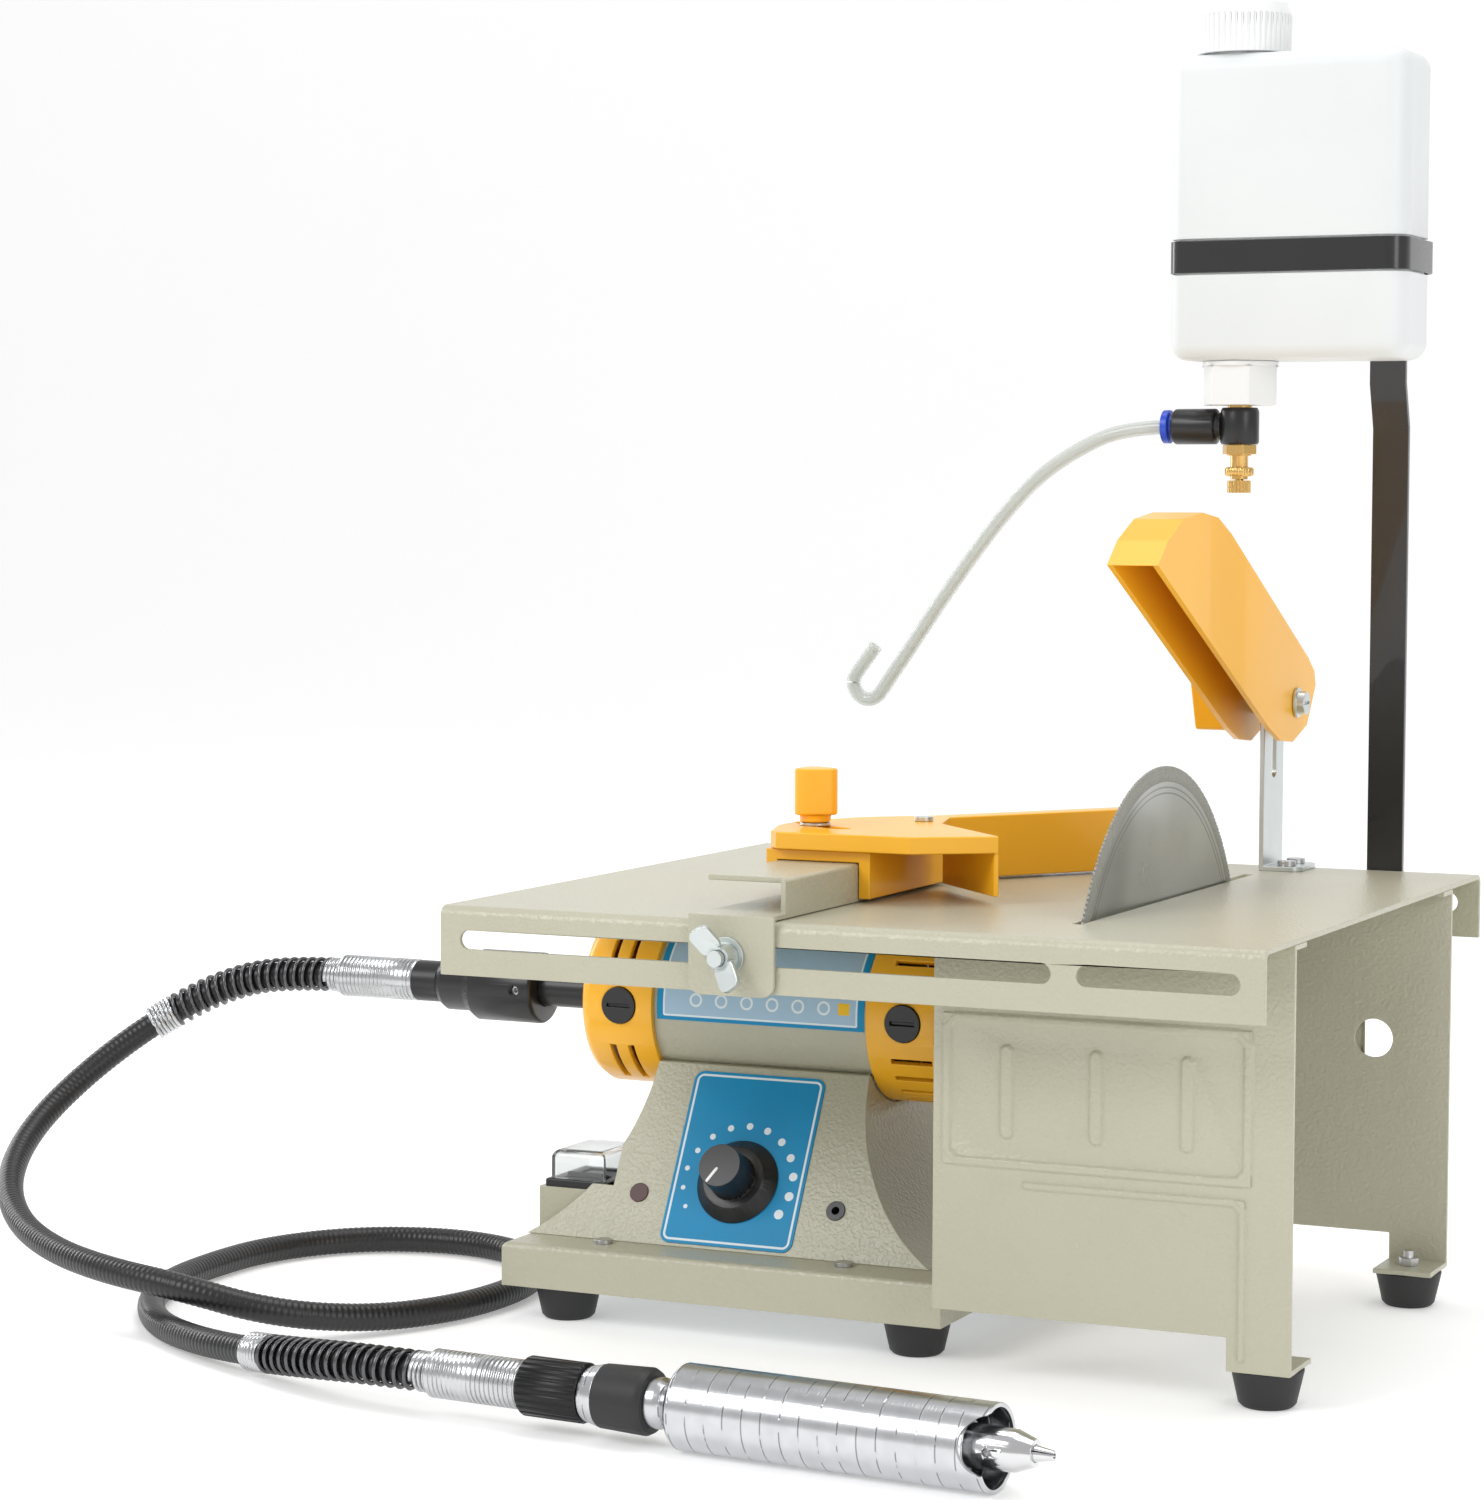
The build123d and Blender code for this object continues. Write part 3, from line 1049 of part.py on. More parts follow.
NODES = {
    "table_top": table_top,
    "front_leg_panel": lambda: leg_panel(LEG_FRONT_Y, 1),
    "rear_leg_panel": lambda: (leg_panel(LEG_REAR_Y, -1)
                               - rod_y(LEG_REAR_Y - 9, LEG_REAR_Y + 9, 7.8, 129.0, 104.4)),
    "rubber_feet": lambda: group([rubber_foot(x, y) for x, y in FEET]),
    "fixing_screws": fixing_screws,
    "base_tray": base_tray,
    "base_plate": base_plate,
    "pedestal_shell": pedestal_shell,
    "control_label": control_label,
    "speed_knob": speed_knob,
    "power_led": power_led,
    "light_jack": light_jack,
    "speed_control": lambda: group([potentiometer(), circuit_board()]),
    "switch_box": switch_box,
    "switch_frame": switch_frame,
    "switch_rocker": switch_rocker,
    "switch_cover": switch_cover,
    "motor_tube": motor_tube,
    "motor_label": motor_label,
    "left_end_cap": left_end_cap,
    "right_end_cap": right_end_cap,
    "motor_brushes": lambda: group([brush_cap(x, s) for x in BRUSH_X for s in (-1, 1)]
                                   + [carbon_brush(s) for s in (-1, 1)]),
    "stator": stator,
    "ball_bearings": ball_bearings,
    "motor_nose": motor_nose,
    "spindle": spindle,
    "armature": armature,
    "saw_blade": saw_blade,
    "blade_clamp": lambda: group([blade_flange(-1), blade_flange(1), arbor_nut()]),
    "shaft_coupling": shaft_coupling,
    "motor_ferrule": motor_ferrule,
    "flex_shaft": lambda: free_tube("flex_shaft", SHAFT_ROUTE, CABLE_R),
    "shaft_springs": shaft_springs,
    "hand_ferrule": hand_ferrule,
    "knurled_nut": knurled_nut,
    "rubber_sleeve": rubber_sleeve,
    "handpiece_body": handpiece_body,
    "chuck": chuck,
    "fence_rail": lambda: fence_rail(),
    "clamp_bolt": lambda: group([clamp_bolt(), clamp_washer()]),
    "wing_nut": wing_nut,
    "mitre_saddle": mitre_saddle,
    "mitre_arm": mitre_arm,
    "lock_stud": lambda: group([lock_stud(), pivot_screw()]),
    "lock_knob": lock_knob,
    "guard_bracket": lambda: guard_bracket(),
    "guard_hood": guard_hood,
    "guard_bolt": lambda: group([guard_bolt(), *bolt_spacers().solids()]),
    "guard_knob": guard_knob,
    "bottle_bar": bottle_bar,
    "bottle": bottle,
    "bottle_cap": bottle_cap,
    "bottle_strap": bottle_strap,
    "outlet_nut": outlet_nut,
    "valve_body": lambda: group([valve_stem(), valve_brass()]),
    "valve_elbow": valve_elbow,
    "release_ring": release_ring,
    "valve_needle": needle,
    "needle_nut": needle_nut,
    "water_hose": lambda: free_tube("water_hose", HOSE_ROUTE, HOSE_R, HOSE_R - 1.0),
}


def main():
    """Writes one STEP file for each node."""
    os.makedirs("parts", exist_ok=True)
    for name, make in NODES.items():
        export_step(make(), f"parts/{name}.step")


main()
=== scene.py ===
"""Looks for the bench cabbing machine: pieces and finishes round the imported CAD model.

The file is laid out as an add-on and is run as a script. Metres throughout, in the CAD model's frame.
"""
import json
import math

import bmesh
import bpy
import numpy as np
from bpy.props import FloatProperty, FloatVectorProperty, IntProperty, PointerProperty
from mathutils import Matrix, Vector


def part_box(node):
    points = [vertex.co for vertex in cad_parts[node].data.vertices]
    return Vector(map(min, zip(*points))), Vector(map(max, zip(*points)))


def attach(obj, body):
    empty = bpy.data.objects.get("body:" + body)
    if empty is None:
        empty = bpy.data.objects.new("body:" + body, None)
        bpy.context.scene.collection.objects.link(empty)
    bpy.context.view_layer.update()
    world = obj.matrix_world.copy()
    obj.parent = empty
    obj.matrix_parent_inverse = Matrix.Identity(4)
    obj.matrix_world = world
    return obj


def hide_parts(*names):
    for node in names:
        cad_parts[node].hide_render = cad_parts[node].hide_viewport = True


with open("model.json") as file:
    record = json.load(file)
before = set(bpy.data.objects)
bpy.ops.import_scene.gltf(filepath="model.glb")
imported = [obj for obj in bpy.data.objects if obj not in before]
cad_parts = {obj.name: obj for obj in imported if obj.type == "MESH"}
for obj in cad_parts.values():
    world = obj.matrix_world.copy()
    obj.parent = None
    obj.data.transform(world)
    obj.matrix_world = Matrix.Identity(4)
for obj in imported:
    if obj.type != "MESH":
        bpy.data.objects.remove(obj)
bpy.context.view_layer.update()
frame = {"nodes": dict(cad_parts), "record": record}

bl_info = {
    "name": "Bench cabbing machine",
    "version": (1, 0, 0),
    "blender": (4, 5, 0),
    "location": "3D View > Sidebar > Machine",
    "description": "Pieces and finishes of a bench lapidary machine",
    "category": "Object",
}

MM = 0.001
RECORD = frame["record"]
BODY_OF = {node: body for body, nodes in RECORD["behaviour"]["bodies"].items() for node in nodes}


def centre(node):
    """The middle of a CAD node's box."""
    low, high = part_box(node)
    return [(a + b) / 2 for a, b in zip(low, high)]


AXIS_Y, AXIS_Z = centre("motor_tube")[1:]
TUBE_X = centre("motor_tube")[0]
TUBE_R = (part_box("motor_tube")[1][2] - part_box("motor_tube")[0][2]) / 2
BLADE_X = centre("saw_blade")[0]
BLADE_R = (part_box("saw_blade")[1][1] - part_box("saw_blade")[0][1]) / 2

# The pedestal's front leans back. Its own axes, and the places of the label and the knob on it.
LEAN = math.atan2(36.4, 66.2)
FRONT_UP = (0.0, math.sin(LEAN), math.cos(LEAN))
FRONT_OUT = (0.0, -math.cos(LEAN), math.sin(LEAN))
FRONT_FOOT = (-78.0 * MM, -73.0 * MM, 30.8 * MM)
LABEL_MIDDLE, LABEL_HALF = 37.0 * MM, (28.0 * MM, 35.5 * MM)
KNOB_UP, KNOB_TALL = 28.0 * MM, 19.9 * MM

# The handpiece's axis.
HAND_START = (-110.5 * MM, -240.1 * MM, 14.9 * MM)
HAND_TURN = math.radians(-3.8)

# The free cords' routes, in millimetres, as the CAD model has them.
SHAFT_ROUTE = [
    (-285, -8, 119), (-316, -8, 119), (-346, -11, 111), (-374, -23, 94), (-394, -45, 73),
    (-400, -74, 54), (-389, -105, 39), (-364, -133, 29), (-330, -157, 24.5), (-292, -175, 23),
    (-256, -182, 21.5), (-222, -170, 12), (-196, -142, 6.6), (-178, -107, 5.6), (-172.5, -67, 5.6),
    (-180, -30, 5.6), (-204, 2, 5.6), (-243, 14, 5.6), (-283, 0, 5.6), (-306, -36, 5.6),
    (-309, -77, 5.6), (-305, -115, 5.6), (-290, -150, 5.6), (-265, -181, 5.6), (-232, -203, 6.8),
    (-199, -217, 8.8), (-168, -229.5, 12.2), (-138, -238.3, 14.9), (-110.5, -240.1, 14.9),
]
HOSE_ROUTE = [
    (36, 117, 350.5), (16, 117, 350), (-3, 117, 342.5), (-22, 117, 330.5), (-38, 117, 314),
    (-53, 117, 295), (-69, 117, 273), (-82, 117, 254), (-89.5, 117, 243.7), (-95.5, 117, 234.5),
    (-103.2, 117, 234.8), (-107.4, 117, 242.2), (-101.5, 117, 250), (-96, 117, 257.5),
]
CABLE_R, HOSE_R, HOSE_BORE = 5.4 * MM, 3.05 * MM, 2.05 * MM


# ---- shader building ----------------------------------------------------------------------
class Signal:
    """A shader socket. Operators on it add Math nodes."""

    def __init__(self, shader, socket):
        self.shader = shader
        self.socket = socket

    def math(self, operation, *others):
        """A Math node on this signal."""
        return self.shader.add("ShaderNodeMath", {"operation": operation}, dict(enumerate((self, *others))))

    def __add__(self, other):
        return self.math("ADD", other)

    def __mul__(self, other):
        return self.math("MULTIPLY", other)

    def __sub__(self, other):
        return self.math("SUBTRACT", other)

    def __rsub__(self, other):
        return self.shader.add("ShaderNodeMath", {"operation": "SUBTRACT"}, {0: other, 1: self})

    __radd__ = __add__
    __rmul__ = __mul__

    def __abs__(self):
        return self.math("ABSOLUTE")

    def above(self, edge, soft):
        """0 below the edge and 1 above it, over a soft width."""
        return self.shader.add("ShaderNodeMapRange", {"interpolation_type": "SMOOTHSTEP"},
                               {0: self, 1: edge - soft, 2: edge + soft, 3: 0.0, 4: 1.0})

    def below(self, edge, soft):
        """1 below the edge and 0 above it."""
        return 1 - self.above(edge, soft)


class Shader:
    """A material under construction, round one Principled node."""

    def __init__(self, name):
        self.material = bpy.data.materials.new(name)
        self.material.use_nodes = True
        self.tree = self.material.node_tree
        self.surface = self.tree.nodes["Principled BSDF"]

    def add(self, kind, settings=None, inputs=None, output=0):
        """Adds a node: its settings first, then the values or links of its sockets."""
        node = self.tree.nodes.new(kind)
        for name, value in (settings or {}).items():
            setattr(node, name, value)
        for name, value in (inputs or {}).items():
            self.feed(node.inputs[name], value)
        return Signal(self, node.outputs[output])

    def feed(self, socket, value):
        """Links a signal to a socket, or sets the socket's value."""
        if isinstance(value, Signal):
            self.tree.links.new(value.socket, socket)
        else:
            socket.default_value = value

    def place(self):
        """Object coordinates."""
        return self.add("ShaderNodeTexCoord", output=3)

    def parts(self, vector):
        """The X, Y and Z of a vector."""
        node = self.tree.nodes.new("ShaderNodeSeparateXYZ")
        self.feed(node.inputs[0], vector)
        return [Signal(self, out) for out in node.outputs]

    def vector(self, x, y, z):
        """A vector of three signals or numbers."""
        return self.add("ShaderNodeCombineXYZ", None, {0: x, 1: y, 2: z})

    def noise(self, where, scale, detail=2.0, roughness=0.5):
        """Smooth noise at a scale per metre."""
        return self.add("ShaderNodeTexNoise", None,
                        {"Vector": where, "Scale": scale, "Detail": detail, "Roughness": roughness})

    def mix(self, factor, first, second):
        """One colour turning into another by a factor."""
        return self.add("ShaderNodeMix", {"data_type": "RGBA"}, {0: factor, 6: first, 7: second}, 2)

    def bump(self, height, depth, strength=1.0):
        """A normal tilted by a height."""
        return self.add("ShaderNodeBump", None, {"Height": height, "Distance": depth, "Strength": strength})

    def finish(self, **sockets):
        """Fills the surface's sockets and gives the material."""
        for name, value in sockets.items():
            self.feed(self.surface.inputs[name.replace("_", " ")], value)
        return self.material


def shade(colour, factor):
    """A colour made lighter or darker."""
    return tuple(min(1.0, c * factor) for c in colour[:3]) + (1.0,)


# ---- finishes -----------------------------------------------------------------------------
def hammered_paint(name, settings):
    """Gloss enamel with an orange-peel skin: two sizes of soft bumps and faint clouding."""
    s = Shader(name)
    at = s.place()
    peel = s.noise(at, 1.0 / settings.peel, 1.5, 0.45)
    pits = s.noise(at, 2.6 / settings.peel, 1.0, 0.5)
    cloud = s.noise(at, 14.0, 3.0, 0.6)
    colour = s.mix(cloud, shade(settings.colour, 0.93), shade(settings.colour, 1.06))
    height = peel.above(0.52, 0.2) + pits * 0.4
    return s.finish(Base_Color=colour, Roughness=0.25 + cloud * 0.1, Normal=s.bump(height, 0.00015, 0.8))


def moulded(name, colour, rough, grain=0.0005, depth=0.00003, vary=0.05, **constants):
    """Moulded plastic or rubber: a fine grain, a little unevenness in gloss and colour."""
    s = Shader(name)
    at = s.place()
    fine = s.noise(at, 1.0 / grain, 2.0)
    cloud = s.noise(at, 22.0, 3.0)
    tone = s.mix(cloud, shade(colour, 1 - vary), shade(colour, 1 + vary))
    return s.finish(Base_Color=tone, Roughness=rough - 0.05 + cloud * 0.1, Normal=s.bump(fine, depth, 0.6),
                    **constants)


def metal(name, colour, rough, stretch=(1.0, 1.0, 1.0), grain=0.0006, depth=0.00002, vary=0.1):
    """Bare or plated metal: grain drawn out along one axis, and cloudy gloss."""
    s = Shader(name)
    at = s.add("ShaderNodeMapping", None, {"Vector": s.place(), "Scale": stretch})
    lines = s.noise(at, 1.0 / grain, 3.0)
    cloud = s.noise(s.place(), 60.0, 3.0)
    tone = s.mix(cloud, shade(colour, 1 - vary), shade(colour, 1 + vary))
    return s.finish(Base_Color=tone, Metallic=1.0, Roughness=rough - 0.06 + lines * 0.08 + cloud * 0.06,
                    Normal=s.bump(lines, depth, 0.7))


def turned_metal(name, colour, rough, origin, turn, scored=False, thread=0.0):
    """Lathe-turned metal: fine rings along an axis through origin, with a screw thread or scored arcs."""
    s = Shader(name)
    x, y, z = s.parts(s.place())
    along = (x - origin[0]) * math.cos(turn) + (y - origin[1]) * math.sin(turn)
    across = (y - origin[1]) * math.cos(turn) - (x - origin[0]) * math.sin(turn)
    rings = s.noise(s.vector(along, 0.0, 0.0), 1400.0, 3.0)
    angle = across.math("ARCTAN2", z - origin[2])
    patch = s.noise(s.vector(along * 60.0, angle * 0.8, 0.0), 2.2, 2.0)
    height, tone = rings, s.mix(patch, shade(colour, 0.82), shade(colour, 1.12))
    if thread:
        height = rings + (along * (2 * math.pi / thread)).math("SINE") * 3.0
    if scored:
        wave = (along * (2 * math.pi / 0.0071)).math("SINE").above(0.975, 0.012)
        score = wave * patch.above(0.46, 0.03)
        height, tone = rings - score * 3.0, s.mix(score * 0.7, tone, shade(colour, 0.25))
    return s.finish(Base_Color=tone, Metallic=1.0, Roughness=rough - 0.05 + rings * 0.12,
                    Normal=s.bump(height, 0.00005, 0.9))


def blade_steel(settings):
    """Ground steel with circular lines, two thin rings, and a rough grey grit rim."""
    s = Shader("blade_steel")
    x, y, z = s.parts(s.place())
    dy, dz = y - AXIS_Y, z - AXIS_Z
    radius = (dy * dy + dz * dz).math("SQRT")
    lines = s.noise(s.vector(radius, 0.0, 0.0), 2600.0, 3.0)
    grit = s.noise(s.place(), 2400.0, 1.0)
    rim = radius.above(BLADE_R - settings.rim, 0.0001)
    ring = abs(abs(radius - (BLADE_R - settings.rim - 0.0032)) - 0.0011).below(0.0003, 0.0001)
    cloud = s.noise(s.place(), 30.0, 3.0)
    steel = s.mix(cloud * 0.5 + lines * 0.5, (0.36, 0.37, 0.37, 1), (0.74, 0.75, 0.75, 1))
    colour = s.mix(ring * 0.6, s.mix(rim, steel, s.mix(grit, (0.16, 0.16, 0.15, 1), (0.55, 0.55, 0.5, 1))),
                   (0.12, 0.12, 0.12, 1))
    height = lines * (1 - rim) * 0.4 + grit * rim * 2.0
    return s.finish(Base_Color=colour, Metallic=1 - rim * 0.45, Roughness=0.24 + rim * 0.3 + cloud * 0.1,
                    Normal=s.bump(height, 0.00002, 0.7))


def rounded_frame(u, v, half_u, half_v, radius):
    """Signed distance to a rounded rectangle, below zero inside."""
    over_u = (abs(u) - (half_u - radius)).math("MAXIMUM", 0.0)
    over_v = (abs(v) - (half_v - radius)).math("MAXIMUM", 0.0)
    return (over_u * over_u + over_v * over_v).math("SQRT") - radius


PRINT_BLUR = 0.05 * MM
# The dots round the knob: their ring, spacing and reach to each side of straight up.
DOT_RING, DOT_STEP, DOT_ARC = 23.0 * MM, math.radians(20.0), 2.2
# The motor's film: its middle above the level line, its half size, and its rows below its middle.
MOTOR_FILM_TURN, MOTOR_FILM_HALF = math.radians(27.0), (43.0 * MM, 19.6 * MM)
CELL_ROW_DOWN, CELL_WIDE = 3.2 * MM, 19.25 * MM
MARK_ROW_DOWN, MARK_STEP, MARK_R = 11.6 * MM, 11.0 * MM, 2.3 * MM


def control_print(settings):
    """Blue film with a pale border and an arc of growing dots round the knob."""
    s = Shader("control_print")
    x, y, z = s.parts(s.place())
    u = x - FRONT_FOOT[0]
    v = (y - FRONT_FOOT[1]) * FRONT_UP[1] + (z - FRONT_FOOT[2]) * FRONT_UP[2] - LABEL_MIDDLE
    edge = rounded_frame(u, v, *LABEL_HALF, 4.0 * MM)
    border = abs(edge + settings.inset).below(0.45 * MM, PRINT_BLUR)
    up = v - (KNOB_UP - LABEL_MIDDLE)
    radius = (u * u + up * up).math("SQRT")
    angle = u.math("ARCTAN2", up)
    turned = angle - (angle * (1 / DOT_STEP)).math("ROUND") * DOT_STEP
    out = radius * turned.math("COSINE") - DOT_RING
    side = radius * turned.math("SINE")
    size = 0.9 * MM + (angle + 2.0) * 0.25 * MM
    dots = (size - (out * out + side * side).math("SQRT")).above(0.0, PRINT_BLUR)
    dots = dots * abs(angle).below(DOT_ARC, 0.02)
    scuff = s.noise(s.place(), 90.0, 4.0)
    ink = border.math("MAXIMUM", dots)
    blue = s.mix(scuff, shade(settings.colour, 0.9), shade(settings.colour, 1.1))
    return s.finish(Base_Color=s.mix(ink, blue, settings.pale[:] + (1.0,)), Roughness=0.42 + scuff * 0.1,
                    Specular_IOR_Level=0.3)


def motor_print(settings):
    """Blue film on the motor: a pale border, a row of blank pale cells and a row of small marks."""
    s = Shader("motor_print")
    x, y, z = s.parts(s.place())
    u = x - TUBE_X
    v = (z - AXIS_Z).math("ARCTAN2", AXIS_Y - y) * TUBE_R - MOTOR_FILM_TURN * TUBE_R
    edge = rounded_frame(u, v, *MOTOR_FILM_HALF, 2.0 * MM)
    border = abs(edge + settings.inset).below(0.4 * MM, PRINT_BLUR)
    row = abs(v + CELL_ROW_DOWN)
    cell_row = row.below(3.4 * MM, PRINT_BLUR) * abs(u).below(2 * CELL_WIDE, PRINT_BLUR)
    column = abs((u * (1 / CELL_WIDE)).math("FRACT") - 0.5)
    gap = column.above(0.478, 0.004).math("MAXIMUM", row.below(0.25 * MM, PRINT_BLUR))
    spot_u = ((u * (1 / MARK_STEP)).math("FRACT") - 0.5) * MARK_STEP
    spot_v = v + MARK_ROW_DOWN
    spot = (spot_u * spot_u + spot_v * spot_v).math("SQRT")
    mark = abs(spot - MARK_R).below(0.45 * MM, PRINT_BLUR) * abs(u).below(3 * MARK_STEP, PRINT_BLUR)
    square = abs(spot_v).below(MARK_R, 0.1 * MM) * abs(u - 36.0 * MM).below(2.4 * MM, 0.1 * MM)
    mask = border.math("MAXIMUM", cell_row * (1 - gap)).math("MAXIMUM", mark)
    scuff = s.noise(s.place(), 90.0, 4.0)
    blue = s.mix(scuff, shade(settings.colour, 0.9), shade(settings.colour, 1.1))
    inked = s.mix(mask, blue, settings.pale[:] + (1.0,))
    return s.finish(Base_Color=s.mix(square, inked, (0.9, 0.55, 0.02, 1)), Roughness=0.42 + scuff * 0.1,
                    Specular_IOR_Level=0.3)


def cloudy_plastic(name):
    """Milky translucent plastic with soft unevenness in its wall."""
    s = Shader(name)
    cloud = s.noise(s.place(), 16.0, 3.0)
    fine = s.noise(s.place(), 500.0, 2.0)
    return s.finish(Base_Color=s.mix(cloud, (0.76, 0.79, 0.79, 1), (0.86, 0.88, 0.88, 1)),
                    Roughness=0.36 + cloud * 0.12, Normal=s.bump(fine + cloud * 4.0, 0.00006, 0.5),
                    Subsurface_Weight=0.35, Subsurface_Radius=(0.02, 0.02, 0.02), Transmission_Weight=0.12)


def clear_plastic(name, tint, **constants):
    """Clear plastic with faint streaks."""
    s = Shader(name)
    streak = s.noise(s.place(), 60.0, 2.0)
    return s.finish(Base_Color=s.mix(streak, shade(tint, 0.93), tint), Roughness=0.03 + streak * 0.08,
                    **constants)


def make_finishes(scene):
    """Every finish by name. They are made once, when the first piece needs them."""
    body, trim, prints = scene.machine_body, scene.machine_trim, scene.machine_prints
    black = (0.012, 0.012, 0.013)
    return {
        "paint": hammered_paint("hammered_paint", body),
        "yellow": moulded("yellow_plastic", body.yellow, 0.34, depth=0.00002, vary=0.03, Coat_Weight=0.15),
        "rubber": moulded("black_rubber", (0.016, 0.016, 0.017), 0.52, 0.0008, 0.00006),
        "cable": moulded("cable_skin", (0.011, 0.011, 0.012), 0.36, 0.0015, 0.00008),
        "black": moulded("black_plastic", black, 0.33, 0.0005, 0.00003),
        "black_enamel": moulded("black_enamel", (0.010, 0.010, 0.011), 0.28, 0.001, 0.00003, Coat_Weight=0.4),
        "zinc": metal("zinc_plate", (0.62, 0.66, 0.65), 0.34, (1, 1, 0.15)),
        "steel": metal("steel", (0.56, 0.56, 0.57), 0.32),
        "iron": metal("laminations", (0.25, 0.24, 0.23), 0.5, (4, 1, 1)),
        "copper": metal("copper_winding", (0.62, 0.27, 0.12), 0.35, (1, 6, 6)),
        "brass": metal("brass", (0.72, 0.46, 0.16), 0.26),
        "chrome": metal("chrome", (0.70, 0.70, 0.71), 0.17, depth=0.00001),
        "black_steel": metal("blacked_steel", (0.035, 0.035, 0.036), 0.33),
        "spring_steel": metal("dark_spring", (0.13, 0.13, 0.135), 0.27),
        "ferrule": turned_metal("ferrule_steel", (0.58, 0.59, 0.60), 0.24, HAND_START, 0.0, thread=0.0019),
        "aluminium": turned_metal("turned_aluminium", trim.aluminium, 0.22, HAND_START, HAND_TURN,
                                  scored=True),
        "blade": blade_steel(scene.machine_blade),
        "control": control_print(prints),
        "motor": motor_print(prints),
        "milky": cloudy_plastic("milky_plastic"),
        "white": moulded("white_plastic", (0.83, 0.84, 0.84), 0.3, depth=0.00002, vary=0.02, Coat_Weight=0.1),
        "clear": clear_plastic("clear_plastic", (0.93, 0.95, 0.95, 1), Transmission_Weight=0.95, IOR=1.4),
        "hose": clear_plastic("clear_tube", (0.62, 0.66, 0.62, 1), Alpha=0.42, Coat_Weight=0.6),
        "blue": moulded("blue_plastic", (0.02, 0.07, 0.55), 0.3),
        "red": moulded("red_lens", (0.055, 0.004, 0.004), 0.3, Specular_IOR_Level=0.3),
        "board": moulded("circuit_board", (0.02, 0.12, 0.05), 0.4),
    }


FINISHES = {}


def finish_of(name):
    """A finish by name, made with all the others on first use."""
    if not FINISHES:
        FINISHES.update(make_finishes(bpy.context.scene))
    return FINISHES[name]


# ---- mesh building ------------------------------------------------------------------------
def new_piece(name, mesh, finish, node=None, body=None):
    """Puts a mesh in the scene as a piece that rides on a body, and may stand for a CAD node."""
    piece = bpy.data.objects.new(name, mesh)
    bpy.context.scene.collection.objects.link(piece)
    mesh.materials.clear()
    mesh.materials.append(finish_of(finish))
    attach(piece, body or BODY_OF[node])
    return piece


def grid_mesh(name, points, wrap_rows=False, wrap_columns=False, cap_rows=False):
    """A mesh over a grid of points shaped (rows, columns, 3); wraps join the last to the first."""
    rows, columns = points.shape[:2]
    index = np.arange(rows * columns).reshape(rows, columns)
    if wrap_rows:
        index = np.vstack([index, index[:1]])
    if wrap_columns:
        index = np.hstack([index, index[:, :1]])
    quads = np.stack([index[:-1, :-1], index[:-1, 1:], index[1:, 1:], index[1:, :-1]], axis=-1).reshape(-1, 4)
    faces = quads.tolist()
    if cap_rows:
        faces.append(index[0, :columns].tolist())
        faces.append(index[-1, :columns][::-1].tolist())
    mesh = bpy.data.meshes.new(name)
    mesh.from_pydata(points.reshape(-1, 3).tolist(), [], faces)
    tidy = bmesh.new()
    tidy.from_mesh(mesh)
    bmesh.ops.recalc_face_normals(tidy, faces=tidy.faces)
    tidy.to_mesh(mesh)
    tidy.free()
    mesh.shade_smooth()
    return mesh


def crisp(mesh, degrees=35.0):
    """Smooth shading up to an angle, sharp past it."""
    mesh.shade_smooth()
    mesh.set_sharp_from_angle(angle=math.radians(degrees))
    return mesh


def merged_copy(node, join_flats=True):
    """A CAD node's mesh with its doubles merged and, unless told not to, its flat faces joined."""
    mesh = frame["nodes"][node].data.copy()
    mesh.name = node + "_shape"
    work = bmesh.new()
    work.from_mesh(mesh)
    bmesh.ops.remove_doubles(work, verts=work.verts, dist=2e-6)
    if join_flats:
        bmesh.ops.dissolve_limit(work, angle_limit=math.radians(0.6), verts=work.verts, edges=work.edges)
    work.to_mesh(mesh)
    work.free()
    return crisp(mesh, 35.0 if join_flats else 12.0)


def dress(node, finish, edge=0.0, join_flats=True):
    """A piece for a CAD node, with its edges broken by a small bevel, in millimetres."""
    piece = new_piece(node + "_piece", merged_copy(node, join_flats), finish, node)
    if edge:
        bevel = piece.modifiers.new("broken_edge", "BEVEL")
        bevel.width = edge * MM
        bevel.segments = 2
        bevel.limit_method = "ANGLE"
        bevel.angle_limit = math.radians(40.0)
        bevel.use_clamp_overlap = False
        bevel.harden_normals = True
    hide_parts(node)
    return piece


def unit(v):
    """Vectors made one long."""
    return v / np.linalg.norm(v, axis=-1, keepdims=True)


def route_line(route):
    """Points along the smooth NURBS spline whose control points are a route's, in metres."""
    curve = bpy.data.curves.new("route", "CURVE")
    curve.dimensions = "3D"
    curve.resolution_u = 24
    spline = curve.splines.new("NURBS")
    spline.points.add(len(route) - 1)
    for point, place in zip(spline.points, route):
        point.co = (*(c * MM for c in place), 1.0)
    spline.order_u = 3
    spline.use_endpoint_u = True
    holder = bpy.data.objects.new("route", curve)
    bpy.context.scene.collection.objects.link(holder)
    line = bpy.data.meshes.new_from_object(holder)
    points = np.empty(len(line.vertices) * 3)
    line.vertices.foreach_get("co", points)
    bpy.data.objects.remove(holder)
    bpy.data.meshes.remove(line)
    return points.reshape(-1, 3)


def spaced(line, count, start=0.0, stop=None):
    """A line's points again, at even distances, with the distances."""
    walked = np.concatenate([[0.0], np.cumsum(np.linalg.norm(np.diff(line, axis=0), axis=1))])
    want = np.linspace(start, walked[-1] if stop is None else stop, count)
    return np.stack([np.interp(want, walked, line[:, k]) for k in range(3)], axis=1), want


def frames(line):
    """Unit tangent, side and up at each point; side is level, square to the tangent."""
    tangent = unit(np.gradient(line, axis=0))
    side = unit(np.cross(tangent, (0.0, 0.0, 1.0)))
    return tangent, side, np.cross(side, tangent)


